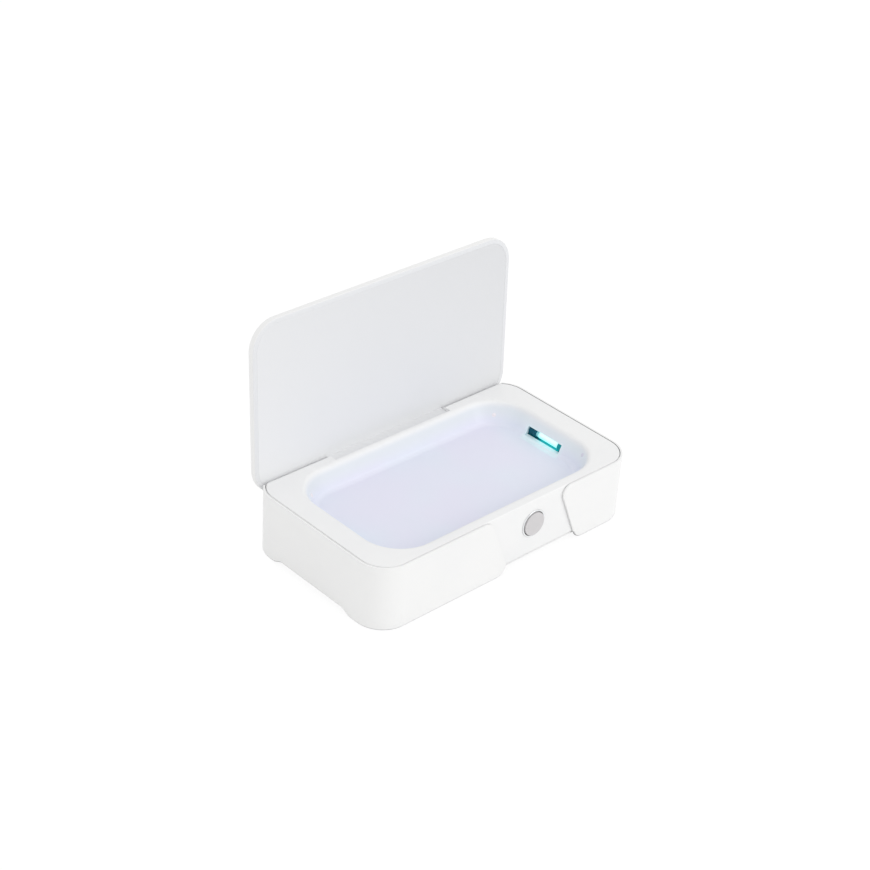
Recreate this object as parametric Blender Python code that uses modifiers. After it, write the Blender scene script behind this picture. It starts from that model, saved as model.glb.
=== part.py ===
"""A box with a hinged lid that cleans a phone with ultraviolet light, built as its separate pieces.

Metres, +Z up, +X along the long side, -Y towards the user. The box stands on z = 0 and the lid is open.
"""

import math

import bmesh
import bpy
from mathutils import Matrix, Vector

# Overall size of the box, over its two wrap covers
BODY_LENGTH = 0.2150
BODY_DEPTH = 0.1218
BODY_CORNER_RADIUS = 0.0196
DECK_HEIGHT = 0.0454

# Gaps that the pieces keep, and how far a cutter runs past what it cuts
CLEARANCE = 0.0003
OVERRUN = 0.0050
SKIN_OVERRUN = 0.0002

# Wrap covers: the two skins round the ends, whose slanted ends leave the button panel open
COVER_WALL = 0.0014
COVER_TOP_DROP = 0.0002
COVER_EDGE_ROUND = 0.0004
COVER_LEFT_END_TOP_X = -0.0193
COVER_LEFT_END_BOTTOM_X = -0.0008
COVER_RIGHT_END_TOP_X = 0.0400
COVER_RIGHT_END_BOTTOM_X = 0.0589
COVER_REAR_END_TOP_X = 0.0680
COVER_REAR_END_BOTTOM_X = 0.0546
COVER_OBTUSE_RADIUS = 0.0076
COVER_ACUTE_RADIUS = 0.0062
ARCH_FRONT_FOOT = 0.0269
ARCH_REAR_FOOT = 0.0239
ARCH_SLOPE_RUN = 0.0070
ARCH_HEIGHT = 0.0034
ARCH_ROUND = 0.0040

# Upper housing: deck, tray and walls in one moulding
HOUSING_WALL = 0.0020
HOUSING_REAR_WALL = 0.0042
HOUSING_BOTTOM_Z = 0.0058
DECK_EDGE_ROUND = 0.0008

# Tray that holds the phone, inside the flat bands of the deck
DECK_END_WIDTH = 0.0158
DECK_FRONT_WIDTH = 0.0072
DECK_REAR_WIDTH = 0.0122
TRAY_CORNER_RADIUS = 0.0270
TRAY_DEPTH = 0.0145
TRAY_WALL_RUN = 0.0070
TRAY_RIM_ROUND = 0.0035
TRAY_FLOOR_ROUND = 0.0045

# Lid, a little smaller than the box, and its hinge
LID_END_INSET = 0.0020
LID_SIDE_INSET = 0.00125
LID_CORNER_DROP = 0.0006
LID_THICKNESS = 0.0050
LID_ROOF = 0.0014
LID_RIM = 0.0030
LID_TOP_ROUND = 0.0016
LID_LOWER_ROUND = 0.0007
LID_GAP = 0.0005
LID_OPEN_ANGLE = math.radians(92.3)
PANEL_THICKNESS = 0.0016
PANEL_EDGE_ROUND = 0.0003
HINGE_INSET = 0.0069
HINGE_DROP = 0.0048
HINGE_HALF_LENGTH = 0.0485
HINGE_RADIUS = 0.0029
HINGE_PIN_RADIUS = 0.0012
HINGE_PIN_LENGTH = 0.0085
HINGE_PIN_IN_LUG = 0.0039
LUG_LENGTH = 0.0052
RECESS_FLOOR_DROP = 0.0080
MAGNET_RADIUS = 0.0040
MAGNET_DECK_SHARE = 0.42

# Lamps behind the two end walls of the tray
LAMP_RISE = 0.0033
LAMP_STANDOFF = 0.0017
LAMP_OFFSET = 0.0005
LAMP_RADIUS = 0.0024
LAMP_END_ROUND = 0.0008
WINDOW_HALF_LENGTH = 0.0150
WINDOW_BELOW_LAMP = 0.0026
WINDOW_ABOVE_LAMP = 0.0032
WINDOW_DEPTH = 0.0060
REFLECTOR_WALL = 0.0008
REFLECTOR_END_REACH = 0.0012
REFLECTOR_TOP_ANGLE = math.radians(78)
SOCKET_RADIUS = 0.0029
SOCKET_FRONT_LENGTH = 0.0034
SOCKET_REAR_LENGTH = 0.0080
SOCKET_GRIP = 0.0026

# Button on the front panel
BUTTON_X = 0.0193
BUTTON_DROP = 0.0176
BEZEL_RADIUS = 0.0095
BEZEL_LAP = 0.0003
BEZEL_RING_WIDTH = 0.0019
BEZEL_RIM = 0.0007
BEZEL_FLANGE_REACH = 0.0007
BEZEL_FLANGE = 0.0010
CAP_SUNK = 0.0004
CAP_FACE = 0.0012
CAP_WALL = 0.0010
CAP_FLANGE_REACH = 0.0010
CAP_FLANGE = 0.0008
CAP_DISH = 0.0003
CAP_DISH_SHARES = (0.3, 0.6)
CAP_EDGE_ROUND = 0.0004
CAP_STEM_RADIUS = 0.0018
BUTTON_TRAVEL = 0.0008
SWITCH_SIZE = 0.0062
SWITCH_DEPTH = 0.0033
SWITCH_STEM_RADIUS = 0.0015
SWITCH_STEM_PROUD = 0.0012
SWITCH_BORE_DEPTH = 0.0024
BUTTON_BOARD_HEIGHT = 0.0130
BUTTON_BOARD_THICKNESS = 0.0016
BUTTON_BOARD_DROP = 0.0015
BUTTON_RIB_THICKNESS = 0.0020
BUTTON_RIB_MARGIN = 0.0023
BUTTON_RIB_REACH = 0.0062

# Bottom cover, its lip, feet and screws
BASE_BOTTOM_Z = 0.0032
BASE_FLOOR = 0.0018
BASE_EDGE_INSET = 0.0006
BASE_CHAMFER = 0.0012
BASE_LIP_HEIGHT = 0.0035
BASE_LIP_WALL = 0.0012
FOOT_RADIUS = 0.0060
FOOT_END_INSET = 0.0258
FOOT_SIDE_INSET = 0.0222
FOOT_SEAT_DEPTH = 0.0006
FOOT_EDGE_ROUND = 0.0006
CASE_SCREW_END_INSET = 0.0118
CASE_SCREW_SIDE_INSET = 0.0117
CASE_SCREW_LENGTH = 0.0128
SCREW_SHANK_RADIUS = 0.0011
SCREW_HEAD_RADIUS = 0.0028
SCREW_HEAD_HEIGHT = 0.0017
SCREW_RECESS_RADIUS = 0.0010
SCREW_RECESS_DEPTH = 0.0008
SCREW_CROWN = 0.0007
SCREW_TIP = 0.0006
CASE_BOSS_RADIUS = 0.0034
CASE_BOSS_BOTTOM_Z = 0.0095
BASE_BOSS_RADIUS = 0.0042

# Main board, port and lamp driver
BOARD_LENGTH = 0.0700
BOARD_DEPTH = 0.0310
BOARD_THICKNESS = 0.0016
BOARD_POST_HEIGHT = 0.0042
BOARD_POST_RADIUS = 0.0030
BOARD_SCREW_INSET = 0.0045
BOARD_SCREW_LENGTH = 0.0048
PORT_WIDTH = 0.0089
PORT_HEIGHT = 0.0032
PORT_LENGTH = 0.0073
PORT_SUNK = 0.0017
PORT_WALL = 0.0004
PORT_ROUND_SHARE = 0.98
PORT_TONGUE_THICKNESS = 0.0007
PORT_TONGUE_WIDTH = 0.0066
DRIVER_LENGTH = 0.0360
DRIVER_DEPTH = 0.0220
DRIVER_HEIGHT = 0.0130
DRIVER_GAP = 0.0040
DRIVER_Y = -0.0220
RAIL_HEIGHT = 0.0040
RAIL_WALL = 0.0015
SOFT_EDGE = 0.0006

# Charging coil under the tray floor
COIL_RADIUS = 0.0250
COIL_BORE_RADIUS = 0.0105
COIL_THICKNESS = 0.0012
FERRITE_MARGIN = 0.0020
FERRITE_THICKNESS = 0.0006
CARRIER_THICKNESS = 0.0014
CARRIER_POST_RADIUS = 0.0024
CARRIER_CORNER_RADIUS = 0.0050
SENSOR_SIZE = 0.0042
SENSOR_THICKNESS = 0.0016

CORNER_STEPS = 8
ROUND_STEPS = 4
ROUND_SIDES = 32
SMALL_SIDES = 16

# The housing, inside the covers
HALF_LENGTH = BODY_LENGTH / 2
HALF_DEPTH = BODY_DEPTH / 2
SKIN = COVER_WALL + CLEARANCE
HOUSING_HALF_LENGTH = HALF_LENGTH - SKIN
HOUSING_HALF_DEPTH = HALF_DEPTH - SKIN
HOUSING_CORNER_RADIUS = BODY_CORNER_RADIUS - SKIN
HOUSING_REAR_EXTRA = HOUSING_REAR_WALL - HOUSING_WALL
COVER_TOP_Z = DECK_HEIGHT - COVER_TOP_DROP
COVER_BOTTOM_Z = CLEARANCE

# The tray and the slope of its wall
TRAY_HALF_LENGTH = HOUSING_HALF_LENGTH - DECK_END_WIDTH
TRAY_FRONT_Y = DECK_FRONT_WIDTH - HOUSING_HALF_DEPTH
TRAY_REAR_Y = HOUSING_HALF_DEPTH - DECK_REAR_WIDTH
TRAY_MIDDLE_Y = (TRAY_FRONT_Y + TRAY_REAR_Y) / 2
TRAY_FLOOR_Z = DECK_HEIGHT - TRAY_DEPTH
TRAY_UNDERSIDE_Z = TRAY_FLOOR_Z - HOUSING_WALL
TRAY_SLOPE = math.atan2(TRAY_WALL_RUN, TRAY_DEPTH)

# The lid in its own frame, where it lies closed with the hinge axis at the origin
LID_LENGTH = BODY_LENGTH - 2 * LID_END_INSET
LID_DEPTH = BODY_DEPTH - 2 * LID_SIDE_INSET
LID_CORNER_RADIUS = BODY_CORNER_RADIUS - LID_CORNER_DROP
LID_PLANE = HINGE_DROP + LID_GAP
LID_REAR = HINGE_INSET
LID_FRONT = LID_REAR - LID_DEPTH
HINGE_Y = LID_DEPTH / 2 - HINGE_INSET
HINGE_Z = DECK_HEIGHT - HINGE_DROP
RECESS_RADIUS = LID_PLANE - CLEARANCE
NOTCH_RADIUS = HINGE_RADIUS + CLEARANCE
PIN_BORE_RADIUS = HINGE_PIN_RADIUS + CLEARANCE
MAGNET_X = TRAY_HALF_LENGTH + DECK_END_WIDTH * MAGNET_DECK_SHARE
MAGNET_THICKNESS = LID_THICKNESS - LID_ROOF - PANEL_THICKNESS - 2 * CLEARANCE

# The button, from its bezel inwards
BUTTON_Z = DECK_HEIGHT - BUTTON_DROP
BEZEL_BARREL_RADIUS = BEZEL_RADIUS - BEZEL_LAP - CLEARANCE
BEZEL_BORE_RADIUS = BEZEL_RADIUS - BEZEL_RING_WIDTH
BEZEL_FLANGE_RADIUS = BEZEL_RADIUS + BEZEL_FLANGE_REACH
BEZEL_FRONT = HOUSING_HALF_DEPTH + CLEARANCE + BEZEL_RIM
BEZEL_REAR = HOUSING_HALF_DEPTH - HOUSING_WALL - CLEARANCE - BEZEL_FLANGE
CAP_FLANGE_RADIUS = BEZEL_BORE_RADIUS + CAP_FLANGE_REACH
BUTTON_BOARD_HALF = BEZEL_FLANGE_RADIUS + BUTTON_RIB_THICKNESS + BUTTON_RIB_MARGIN
BUTTON_BOARD_FRONT = HOUSING_HALF_DEPTH - HOUSING_WALL - BUTTON_RIB_REACH
SWITCH_FRONT = BUTTON_BOARD_FRONT + CLEARANCE + SWITCH_DEPTH

# The bottom cover and what stands on it
BASE_FLOOR_Z = BASE_BOTTOM_Z + BASE_FLOOR
BASE_RIM_Z = HOUSING_BOTTOM_Z - CLEARANCE
FOOT_X = HOUSING_HALF_LENGTH - FOOT_END_INSET
FOOT_Y = HOUSING_HALF_DEPTH - FOOT_SIDE_INSET
CASE_SCREW_X = HOUSING_HALF_LENGTH - CASE_SCREW_END_INSET
CASE_SCREW_Y = HOUSING_HALF_DEPTH - CASE_SCREW_SIDE_INSET
CASE_SCREW_SEAT_Z = BASE_BOTTOM_Z + SCREW_HEAD_HEIGHT + CLEARANCE
SCREW_BORE_RADIUS = SCREW_SHANK_RADIUS + CLEARANCE
BOARD_Z = BASE_FLOOR_Z + BOARD_POST_HEIGHT + CLEARANCE
BOARD_REAR_Y = HOUSING_HALF_DEPTH - HOUSING_REAR_WALL - BASE_LIP_WALL - 2 * CLEARANCE
BOARD_FRONT_Y = BOARD_REAR_Y - BOARD_DEPTH
PORT_Z = BOARD_Z + BOARD_THICKNESS + CLEARANCE + PORT_HEIGHT / 2
FERRITE_HALF = COIL_RADIUS + FERRITE_MARGIN
CARRIER_HALF = FERRITE_HALF + 2 * CARRIER_POST_RADIUS + 4 * CLEARANCE
DRIVER_X = -(CARRIER_HALF + DRIVER_GAP + DRIVER_LENGTH / 2)

# The open lid's back and the covers' front are the ends of the whole depth, which is centred
LID_OPEN_BACK = (LID_FRONT + LID_TOP_ROUND) * math.cos(LID_OPEN_ANGLE) + LID_TOP_ROUND
LID_OPEN_BACK += (LID_PLANE + LID_THICKNESS - LID_TOP_ROUND) * math.sin(LID_OPEN_ANGLE)
FRAME_SHIFT_Y = (HINGE_Y + LID_OPEN_BACK - HALF_DEPTH) / 2


def clear_scene():
    for old in list(bpy.data.objects):
        bpy.data.objects.remove(old, do_unlink=True)


def new_collection(name):
    collection = bpy.data.collections.new(name)
    bpy.context.scene.collection.children.link(collection)
    return collection


def principled(name, colour, roughness, metallic=0.0, transmission=0.0):
    made = bpy.data.materials.new(name)
    made.use_nodes = True
    shader = made.node_tree.nodes["Principled BSDF"]
    shader.inputs["Base Color"].default_value = (*colour, 1.0)
    shader.inputs["Roughness"].default_value = roughness
    shader.inputs["Metallic"].default_value = metallic
    shader.inputs["Transmission Weight"].default_value = transmission
    made.diffuse_color = (*colour, 1.0)
    return made


clear_scene()
PARTS = new_collection("uv_sterilizer")
CUTTERS = new_collection("cutters")

WHITE_PLASTIC = principled("white_plastic", (0.90, 0.90, 0.91), 0.35)
TRAY_PLASTIC = principled("tray_plastic", (0.88, 0.89, 0.92), 0.30)
LID_PLASTIC = principled("lid_plastic", (0.84, 0.85, 0.87), 0.42)
RUBBER = principled("rubber", (0.35, 0.36, 0.37), 0.85)
STEEL = principled("steel", (0.62, 0.62, 0.64), 0.30, 1.0)
CHROME = principled("chrome", (0.80, 0.81, 0.83), 0.12, 1.0)
BUTTON_GREY = principled("button_grey", (0.44, 0.44, 0.45), 0.40)
LAMP_GLASS = principled("lamp_glass", (0.55, 0.95, 1.00), 0.10)
REFLECTOR_BLUE = principled("reflector", (0.10, 0.33, 0.42), 0.20, 0.8)
SOCKET_BLACK = principled("socket_black", (0.02, 0.03, 0.05), 0.55)
BOARD_GREEN = principled("circuit_board", (0.04, 0.24, 0.12), 0.50)
COPPER = principled("copper", (0.72, 0.36, 0.20), 0.35, 1.0)
FERRITE_BLACK = principled("ferrite", (0.06, 0.06, 0.07), 0.60)


def empty(name, location, parent=None, tilt=0.0):
    made = bpy.data.objects.new(name, None)
    made.empty_display_size = HINGE_RADIUS
    made.location = location
    made.rotation_euler = (tilt, 0.0, 0.0)
    made.parent = parent
    PARTS.objects.link(made)
    return made


BASE = empty("base_frame", (0.0, -FRAME_SHIFT_Y, 0.0))
LID = empty("lid_hinge_axis", (0.0, HINGE_Y, HINGE_Z), BASE, -LID_OPEN_ANGLE)
BUTTON = empty("button_axis", (BUTTON_X, 0.0, BUTTON_Z), BASE)


def add_object(name, mesh, material, parent, placing=None):
    made = bpy.data.objects.new(name, mesh)
    made.parent = parent
    if placing is not None:
        made.matrix_local = placing
    if material is None:
        made.hide_render = True
        made.display_type = "WIRE"
        CUTTERS.objects.link(made)
    else:
        mesh.materials.append(material)
        PARTS.objects.link(made)
    return made


def mesh_from(name, bm):
    bmesh.ops.recalc_face_normals(bm, faces=bm.faces)
    mesh = bpy.data.meshes.new(name)
    bm.to_mesh(mesh)
    bm.free()
    mesh.shade_smooth()
    mesh.set_sharp_from_angle(angle=math.radians(35))
    return mesh


def block(name, corner, opposite, material=None, parent=BASE):
    """A box between two corners. One without a material is a cutter or an addition to another piece."""
    bm = bmesh.new()
    size = [abs(b - a) for a, b in zip(corner, opposite)]
    centre = (Vector(corner) + Vector(opposite)) / 2
    bmesh.ops.create_cube(bm, size=1, matrix=Matrix.Translation(centre) @ Matrix.Diagonal((*size, 1)))
    return add_object(name, mesh_from(name, bm), material, parent)


def rod(name, start, axis, length, radius, material=None, parent=BASE, sides=SMALL_SIDES):
    """A cylinder from a start point along an axis."""
    bm = bmesh.new()
    turn = Vector((0, 0, 1)).rotation_difference(Vector(axis)).to_matrix().to_4x4()
    middle = Vector(start) + Vector(axis) * length / 2
    bmesh.ops.create_cone(
        bm, cap_ends=True, segments=sides, radius1=radius, radius2=radius, depth=length,
        matrix=Matrix.Translation(middle) @ turn,
    )
    return add_object(name, mesh_from(name, bm), material, parent)


def turned(name, profile, placing, material, parent=BASE, sides=ROUND_SIDES):
    """A turned piece: (radius, height) points down its outer side, spun round local Z."""
    mesh = bpy.data.meshes.new(name)
    points = [(radius, 0.0, height) for radius, height in profile]
    ring = profile[0][0] > 0
    edges = [(i, i + 1) for i in range(len(points) - 1)]
    if ring:
        edges.append((len(points) - 1, 0))
    mesh.from_pydata(points, edges, [])
    made = add_object(name, mesh, material, parent, placing)
    screw = made.modifiers.new("turn", "SCREW")
    screw.steps = sides
    screw.render_steps = sides
    screw.use_merge_vertices = True
    screw.merge_threshold = SKIN_OVERRUN / 20
    return made


def arc_points(centre, radius, start, end, steps=ROUND_STEPS):
    angles = [start + (end - start) * i / steps for i in range(steps + 1)]
    return [(centre[0] + radius * math.cos(a), centre[1] + radius * math.sin(a)) for a in angles]


def rounded_corner(before, corner, after, radius, steps=ROUND_STEPS):
    """The arc that rounds one corner of a path, limited by the shorter of its two sides."""
    corner = Vector(corner)
    to_before = (Vector(before) - corner).normalized()
    to_after = (Vector(after) - corner).normalized()
    half = to_before.angle(to_after) / 2
    centre = corner + (to_before + to_after).normalized() * radius / math.sin(half)
    first = corner + to_before * radius / math.tan(half) - centre
    last = corner + to_after * radius / math.tan(half) - centre
    start = math.atan2(first.y, first.x)
    sweep = (math.atan2(last.y, last.x) - start + math.pi) % (2 * math.pi) - math.pi
    return arc_points(centre, radius, start, start + sweep, steps)


def rounded_rectangle(half_length, front, rear, radius, steps=CORNER_STEPS):
    points = []
    corners = ((1, rear - radius), (-1, rear - radius), (-1, front + radius), (1, front + radius))
    for i, (side, y) in enumerate(corners):
        start = i * math.pi / 2
        centre = (side * (half_length - radius), y)
        points += arc_points(centre, radius, start, start + math.pi / 2, steps)
    return points


def ring_of(outline, z):
    return [(x, y, z) for x, y in outline]


def loft(name, rings, material=None, parent=BASE, tube=False):
    """Bridges outlines with the same number of points. Its two ends are capped, or joined on a tube."""
    bm = bmesh.new()
    loops = [[bm.verts.new(point) for point in ring] for ring in rings]
    following = loops[1:] + loops[:1] if tube else loops[1:]
    for lower, upper in zip(loops, following):
        for i in range(len(lower)):
            j = (i + 1) % len(lower)
            bm.faces.new((lower[i], lower[j], upper[j], upper[i]))
    if not tube:
        bm.faces.new(loops[0])
        bm.faces.new(loops[-1])
    return add_object(name, mesh_from(name, bm), material, parent)


def extrusion(name, outline, thickness, placing, material=None, parent=BASE):
    """A flat outline in local XY, extruded both ways along local Z and made a mesh that can be cut."""
    curve = bpy.data.curves.new(name, "CURVE")
    curve.dimensions = "2D"
    curve.fill_mode = "BOTH"
    curve.extrude = thickness / 2
    spline = curve.splines.new("POLY")
    spline.points.add(len(outline) - 1)
    for point, (x, y) in zip(spline.points, outline):
        point.co = (x, y, 0.0, 1.0)
    spline.use_cyclic_u = True
    drawn = bpy.data.objects.new(name + "_outline", curve)
    CUTTERS.objects.link(drawn)
    graph = bpy.context.evaluated_depsgraph_get()
    flat = bpy.data.meshes.new_from_object(drawn.evaluated_get(graph))
    bm = bmesh.new()
    bm.from_mesh(flat)
    bmesh.ops.remove_doubles(bm, verts=bm.verts, dist=SKIN_OVERRUN / 20)
    bpy.data.objects.remove(drawn)
    mesh = mesh_from(name, bm)
    mesh.materials.clear()
    return add_object(name, mesh, material, parent, placing)


def boolean(target, other, operation):
    modifier = target.modifiers.new(other.name, "BOOLEAN")
    modifier.operation = operation
    modifier.solver = "EXACT"
    modifier.object = other


def cut(target, *others):
    for other in others:
        boolean(target, other, "DIFFERENCE")


def join(target, *others):
    for other in others:
        boolean(target, other, "UNION")


def soften(target, width, segments=2):
    bevel = target.modifiers.new("soft_edges", "BEVEL")
    bevel.width = width
    bevel.segments = segments
    bevel.limit_method = "ANGLE"
    bevel.angle_limit = math.radians(50)
    return target


# Local XY drawn on a plane that faces along X, with local X as Y and local Y as Z
ACROSS_X = Matrix(((0, 0, 1, 0), (1, 0, 0, 0), (0, 1, 0, 0), (0, 0, 0, 1)))
# Local XY drawn on the front plane, with local X as X and local Y as Z, and local Z pointing to the user
ACROSS_Y = Matrix(((1, 0, 0, 0), (0, 0, -1, 0), (0, 1, 0, 0), (0, 0, 0, 1)))


def housing_outline(inset, rear_extra=0.0):
    """The housing's plan moved in by a distance, and by more at the rear if its wall is thicker there."""
    front = inset - HOUSING_HALF_DEPTH
    rear = HOUSING_HALF_DEPTH - inset - rear_extra
    return rounded_rectangle(HOUSING_HALF_LENGTH - inset, front, rear, HOUSING_CORNER_RADIUS - inset)


def tray_outline(inset):
    return rounded_rectangle(
        TRAY_HALF_LENGTH - inset, TRAY_FRONT_Y + inset, TRAY_REAR_Y - inset, TRAY_CORNER_RADIUS - inset
    )


def tray_underside_inset(depth, gap=0.0):
    """How far inside the tray's rim the back of its sloping wall lies, or a line at a gap behind it."""
    return math.tan(TRAY_SLOPE) * depth - (HOUSING_WALL + gap) / math.cos(TRAY_SLOPE)


def housing_rings():
    """From the tray floor over the rim and deck, down the wall, and back along the underside."""
    floor_edge = (TRAY_WALL_RUN, -TRAY_DEPTH)
    wide = TRAY_WALL_RUN * 2
    floor_round = rounded_corner((wide, -TRAY_DEPTH), floor_edge, (0, 0), TRAY_FLOOR_ROUND)
    rim_round = rounded_corner(floor_edge, (0, 0), (-wide, 0), TRAY_RIM_ROUND)
    rings = [ring_of(tray_outline(inset), DECK_HEIGHT + drop) for inset, drop in floor_round + rim_round]
    deck_round = arc_points((DECK_EDGE_ROUND, -DECK_EDGE_ROUND), DECK_EDGE_ROUND, math.pi / 2, math.pi, 3)
    rings += [ring_of(housing_outline(inset), DECK_HEIGHT + drop) for inset, drop in deck_round]
    rings.append(ring_of(housing_outline(0), HOUSING_BOTTOM_Z))
    inside = housing_outline(HOUSING_WALL, HOUSING_REAR_EXTRA)
    rings.append(ring_of(inside, HOUSING_BOTTOM_Z))
    rings.append(ring_of(inside, DECK_HEIGHT - HOUSING_WALL))
    for depth in (HOUSING_WALL, TRAY_DEPTH + HOUSING_WALL):
        rings.append(ring_of(tray_outline(tray_underside_inset(depth)), DECK_HEIGHT - depth))
    return rings


def recess_cutter():
    """Cuts the rear so that the lid can swing past the deck's edge and lean back against the wall."""
    lean = math.pi / 2 - LID_OPEN_ANGLE
    top = LID_PLANE + OVERRUN
    back = LID_PLANE + LID_THICKNESS + OVERRUN
    arc = arc_points((0, 0), RECESS_RADIUS, math.pi / 2, lean, CORNER_STEPS)
    wall_length = (RECESS_FLOOR_DROP + arc[-1][1]) / math.cos(lean)
    foot = (arc[-1][0] + wall_length * math.sin(lean), -RECESS_FLOOR_DROP)
    outline = [(0, top), *arc, foot, (back, -RECESS_FLOOR_DROP), (back, top)]
    outline = [(HINGE_Y + y, HINGE_Z + z) for y, z in outline]
    return extrusion("lid_recess_cutter", outline, BODY_LENGTH + OVERRUN, ACROSS_X)


def notch_cutter():
    """The trough for the hinge barrel, open above it and behind it."""
    top = LID_PLANE + OVERRUN
    back = LID_PLANE + LID_THICKNESS + OVERRUN
    arc = arc_points((0, 0), NOTCH_RADIUS, math.pi, 3 * math.pi / 2, CORNER_STEPS)
    outline = [(-NOTCH_RADIUS, top), *arc, (back, -NOTCH_RADIUS), (back, top)]
    outline = [(HINGE_Y + y, HINGE_Z + z) for y, z in outline]
    return extrusion("hinge_notch_cutter", outline, 2 * (HINGE_HALF_LENGTH + CLEARANCE), ACROSS_X)


def button_ribs():
    """Two ribs behind the front wall that carry the button's board."""
    ribs = []
    wall_y = HOUSING_WALL / 2 - HOUSING_HALF_DEPTH
    seat_y = -BUTTON_BOARD_FRONT - CLEARANCE
    top = BUTTON_Z - BUTTON_BOARD_DROP + BUTTON_BOARD_HEIGHT / 2
    for name, side in (("button_rib_left", -1), ("button_rib_right", 1)):
        outer_x = BUTTON_X + side * BUTTON_BOARD_HALF
        inner_x = outer_x - side * BUTTON_RIB_THICKNESS
        ribs.append(block(name, (outer_x, wall_y, top - BUTTON_BOARD_HEIGHT), (inner_x, seat_y, top)))
    return ribs


def lamp_place():
    """The middle of the right lamp's axis: a stand-off behind the tray's wall, a little above its floor."""
    wall_x = TRAY_HALF_LENGTH - tray_underside_inset(TRAY_DEPTH - LAMP_RISE)
    return wall_x + LAMP_STANDOFF, TRAY_MIDDLE_Y + LAMP_OFFSET, TRAY_FLOOR_Z + LAMP_RISE


def case_bosses():
    """(x, y) of the four screws that hold the bottom cover."""
    return [(x * CASE_SCREW_X, y * CASE_SCREW_Y) for x in (-1, 1) for y in (-1, 1)]


def port_outline(grow):
    half_height = PORT_HEIGHT / 2 + grow
    radius = half_height * PORT_ROUND_SHARE
    return rounded_rectangle(PORT_WIDTH / 2 + grow, -half_height, half_height, radius, ROUND_STEPS)


def upper_housing():
    housing = loft("upper_housing", housing_rings(), TRAY_PLASTIC)
    deck_middle = DECK_HEIGHT - HOUSING_WALL / 2
    lug_end = HINGE_HALF_LENGTH + CLEARANCE + LUG_LENGTH
    trough_low = (-lug_end, HINGE_Y - NOTCH_RADIUS - HOUSING_WALL, HINGE_Z - NOTCH_RADIUS - HOUSING_WALL)
    trough_high = (lug_end, HOUSING_HALF_DEPTH - HOUSING_REAR_WALL / 2, deck_middle)
    join(housing, block("hinge_trough", trough_low, trough_high), *button_ribs())
    for i, (x, y) in enumerate(case_bosses()):
        height = deck_middle - CASE_BOSS_BOTTOM_Z
        join(housing, rod(f"case_boss_{i}", (x, y, CASE_BOSS_BOTTOM_Z), (0, 0, 1), height, CASE_BOSS_RADIUS))
    cut(housing, recess_cutter(), notch_cutter())
    front = -HOUSING_HALF_DEPTH - OVERRUN
    hole_length = OVERRUN + HOUSING_WALL + CLEARANCE
    start = (BUTTON_X, front, BUTTON_Z)
    radius = BEZEL_BARREL_RADIUS + CLEARANCE
    hole = rod("bezel_hole_cutter", start, (0, 1, 0), hole_length, radius, sides=ROUND_SIDES)
    cut(housing, hole)
    slot_y = HOUSING_HALF_DEPTH - HOUSING_REAR_WALL / 2
    placing = Matrix.Translation((0, slot_y, PORT_Z)) @ ACROSS_Y
    slot_length = HOUSING_REAR_WALL + OVERRUN
    cut(housing, extrusion("port_slot_cutter", port_outline(CLEARANCE), slot_length, placing))
    for i, (x, y) in enumerate(case_bosses()):
        start = (x, y, CASE_BOSS_BOTTOM_Z - OVERRUN)
        length = CASE_SCREW_LENGTH + OVERRUN - SCREW_HEAD_HEIGHT
        cut(housing, rod(f"case_bore_{i}", start, (0, 0, 1), length, SCREW_BORE_RADIUS))
    lamp_x, lamp_y, lamp_z = lamp_place()
    for name, side in (("left", -1), ("right", 1)):
        inner_x = TRAY_HALF_LENGTH - TRAY_WALL_RUN - CLEARANCE
        outer_x = inner_x + WINDOW_DEPTH + HOUSING_WALL
        low = (side * inner_x, lamp_y - WINDOW_HALF_LENGTH, lamp_z - WINDOW_BELOW_LAMP)
        high = (side * outer_x, lamp_y + WINDOW_HALF_LENGTH, lamp_z + WINDOW_ABOVE_LAMP)
        cut(housing, block(f"lamp_window_{name}", low, high))
        start = (side * (HINGE_HALF_LENGTH - OVERRUN), HINGE_Y, HINGE_Z)
        length = OVERRUN + HINGE_PIN_IN_LUG + 3 * CLEARANCE
        cut(housing, rod(f"lug_bore_{name}", start, (side, 0, 0), length, PIN_BORE_RADIUS))
    return housing


def skin_rings():
    """The two covers before they are parted: one band round the housing."""
    def outline(inset):
        return rounded_rectangle(
            HALF_LENGTH - inset, inset - HALF_DEPTH, HALF_DEPTH - inset, BODY_CORNER_RADIUS - inset
        )
    rings = []
    edge = COVER_EDGE_ROUND
    for centre_z, start in ((COVER_BOTTOM_Z + edge, -math.pi / 2), (COVER_TOP_Z - edge, -math.pi)):
        for inset, z in arc_points((edge, centre_z), edge, start, start - math.pi / 2, 2):
            rings.append(ring_of(outline(inset), z))
    rings.append(ring_of(outline(COVER_WALL), COVER_TOP_Z))
    rings.append(ring_of(outline(COVER_WALL), COVER_BOTTOM_Z))
    return rings


def end_cutter(name, side, top_x, bottom_x, top_z, low_y, high_y):
    """Cuts a cover along a slanted end. side is the side of the line where the cover stays."""
    high = top_z + SKIN_OVERRUN
    low = COVER_BOTTOM_Z - SKIN_OVERRUN
    leans_out = (bottom_x - top_x) * side < 0
    top_radius, bottom_radius = COVER_OBTUSE_RADIUS, COVER_ACUTE_RADIUS
    if not leans_out:
        top_radius, bottom_radius = bottom_radius, top_radius
    inward = side * BODY_LENGTH
    path = rounded_corner((top_x + inward, high), (top_x, high), (bottom_x, low), top_radius)
    path += rounded_corner((top_x, high), (bottom_x, low), (bottom_x + inward, low), bottom_radius)
    above = COVER_TOP_Z + OVERRUN
    far = -side * BODY_LENGTH
    outline = [(far, above), (path[0][0], above), *path, (path[-1][0], -OVERRUN), (far, -OVERRUN)]
    placing = Matrix.Translation((0, (low_y + high_y) / 2, 0)) @ ACROSS_Y
    return extrusion(name, outline, high_y - low_y, placing)


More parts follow.
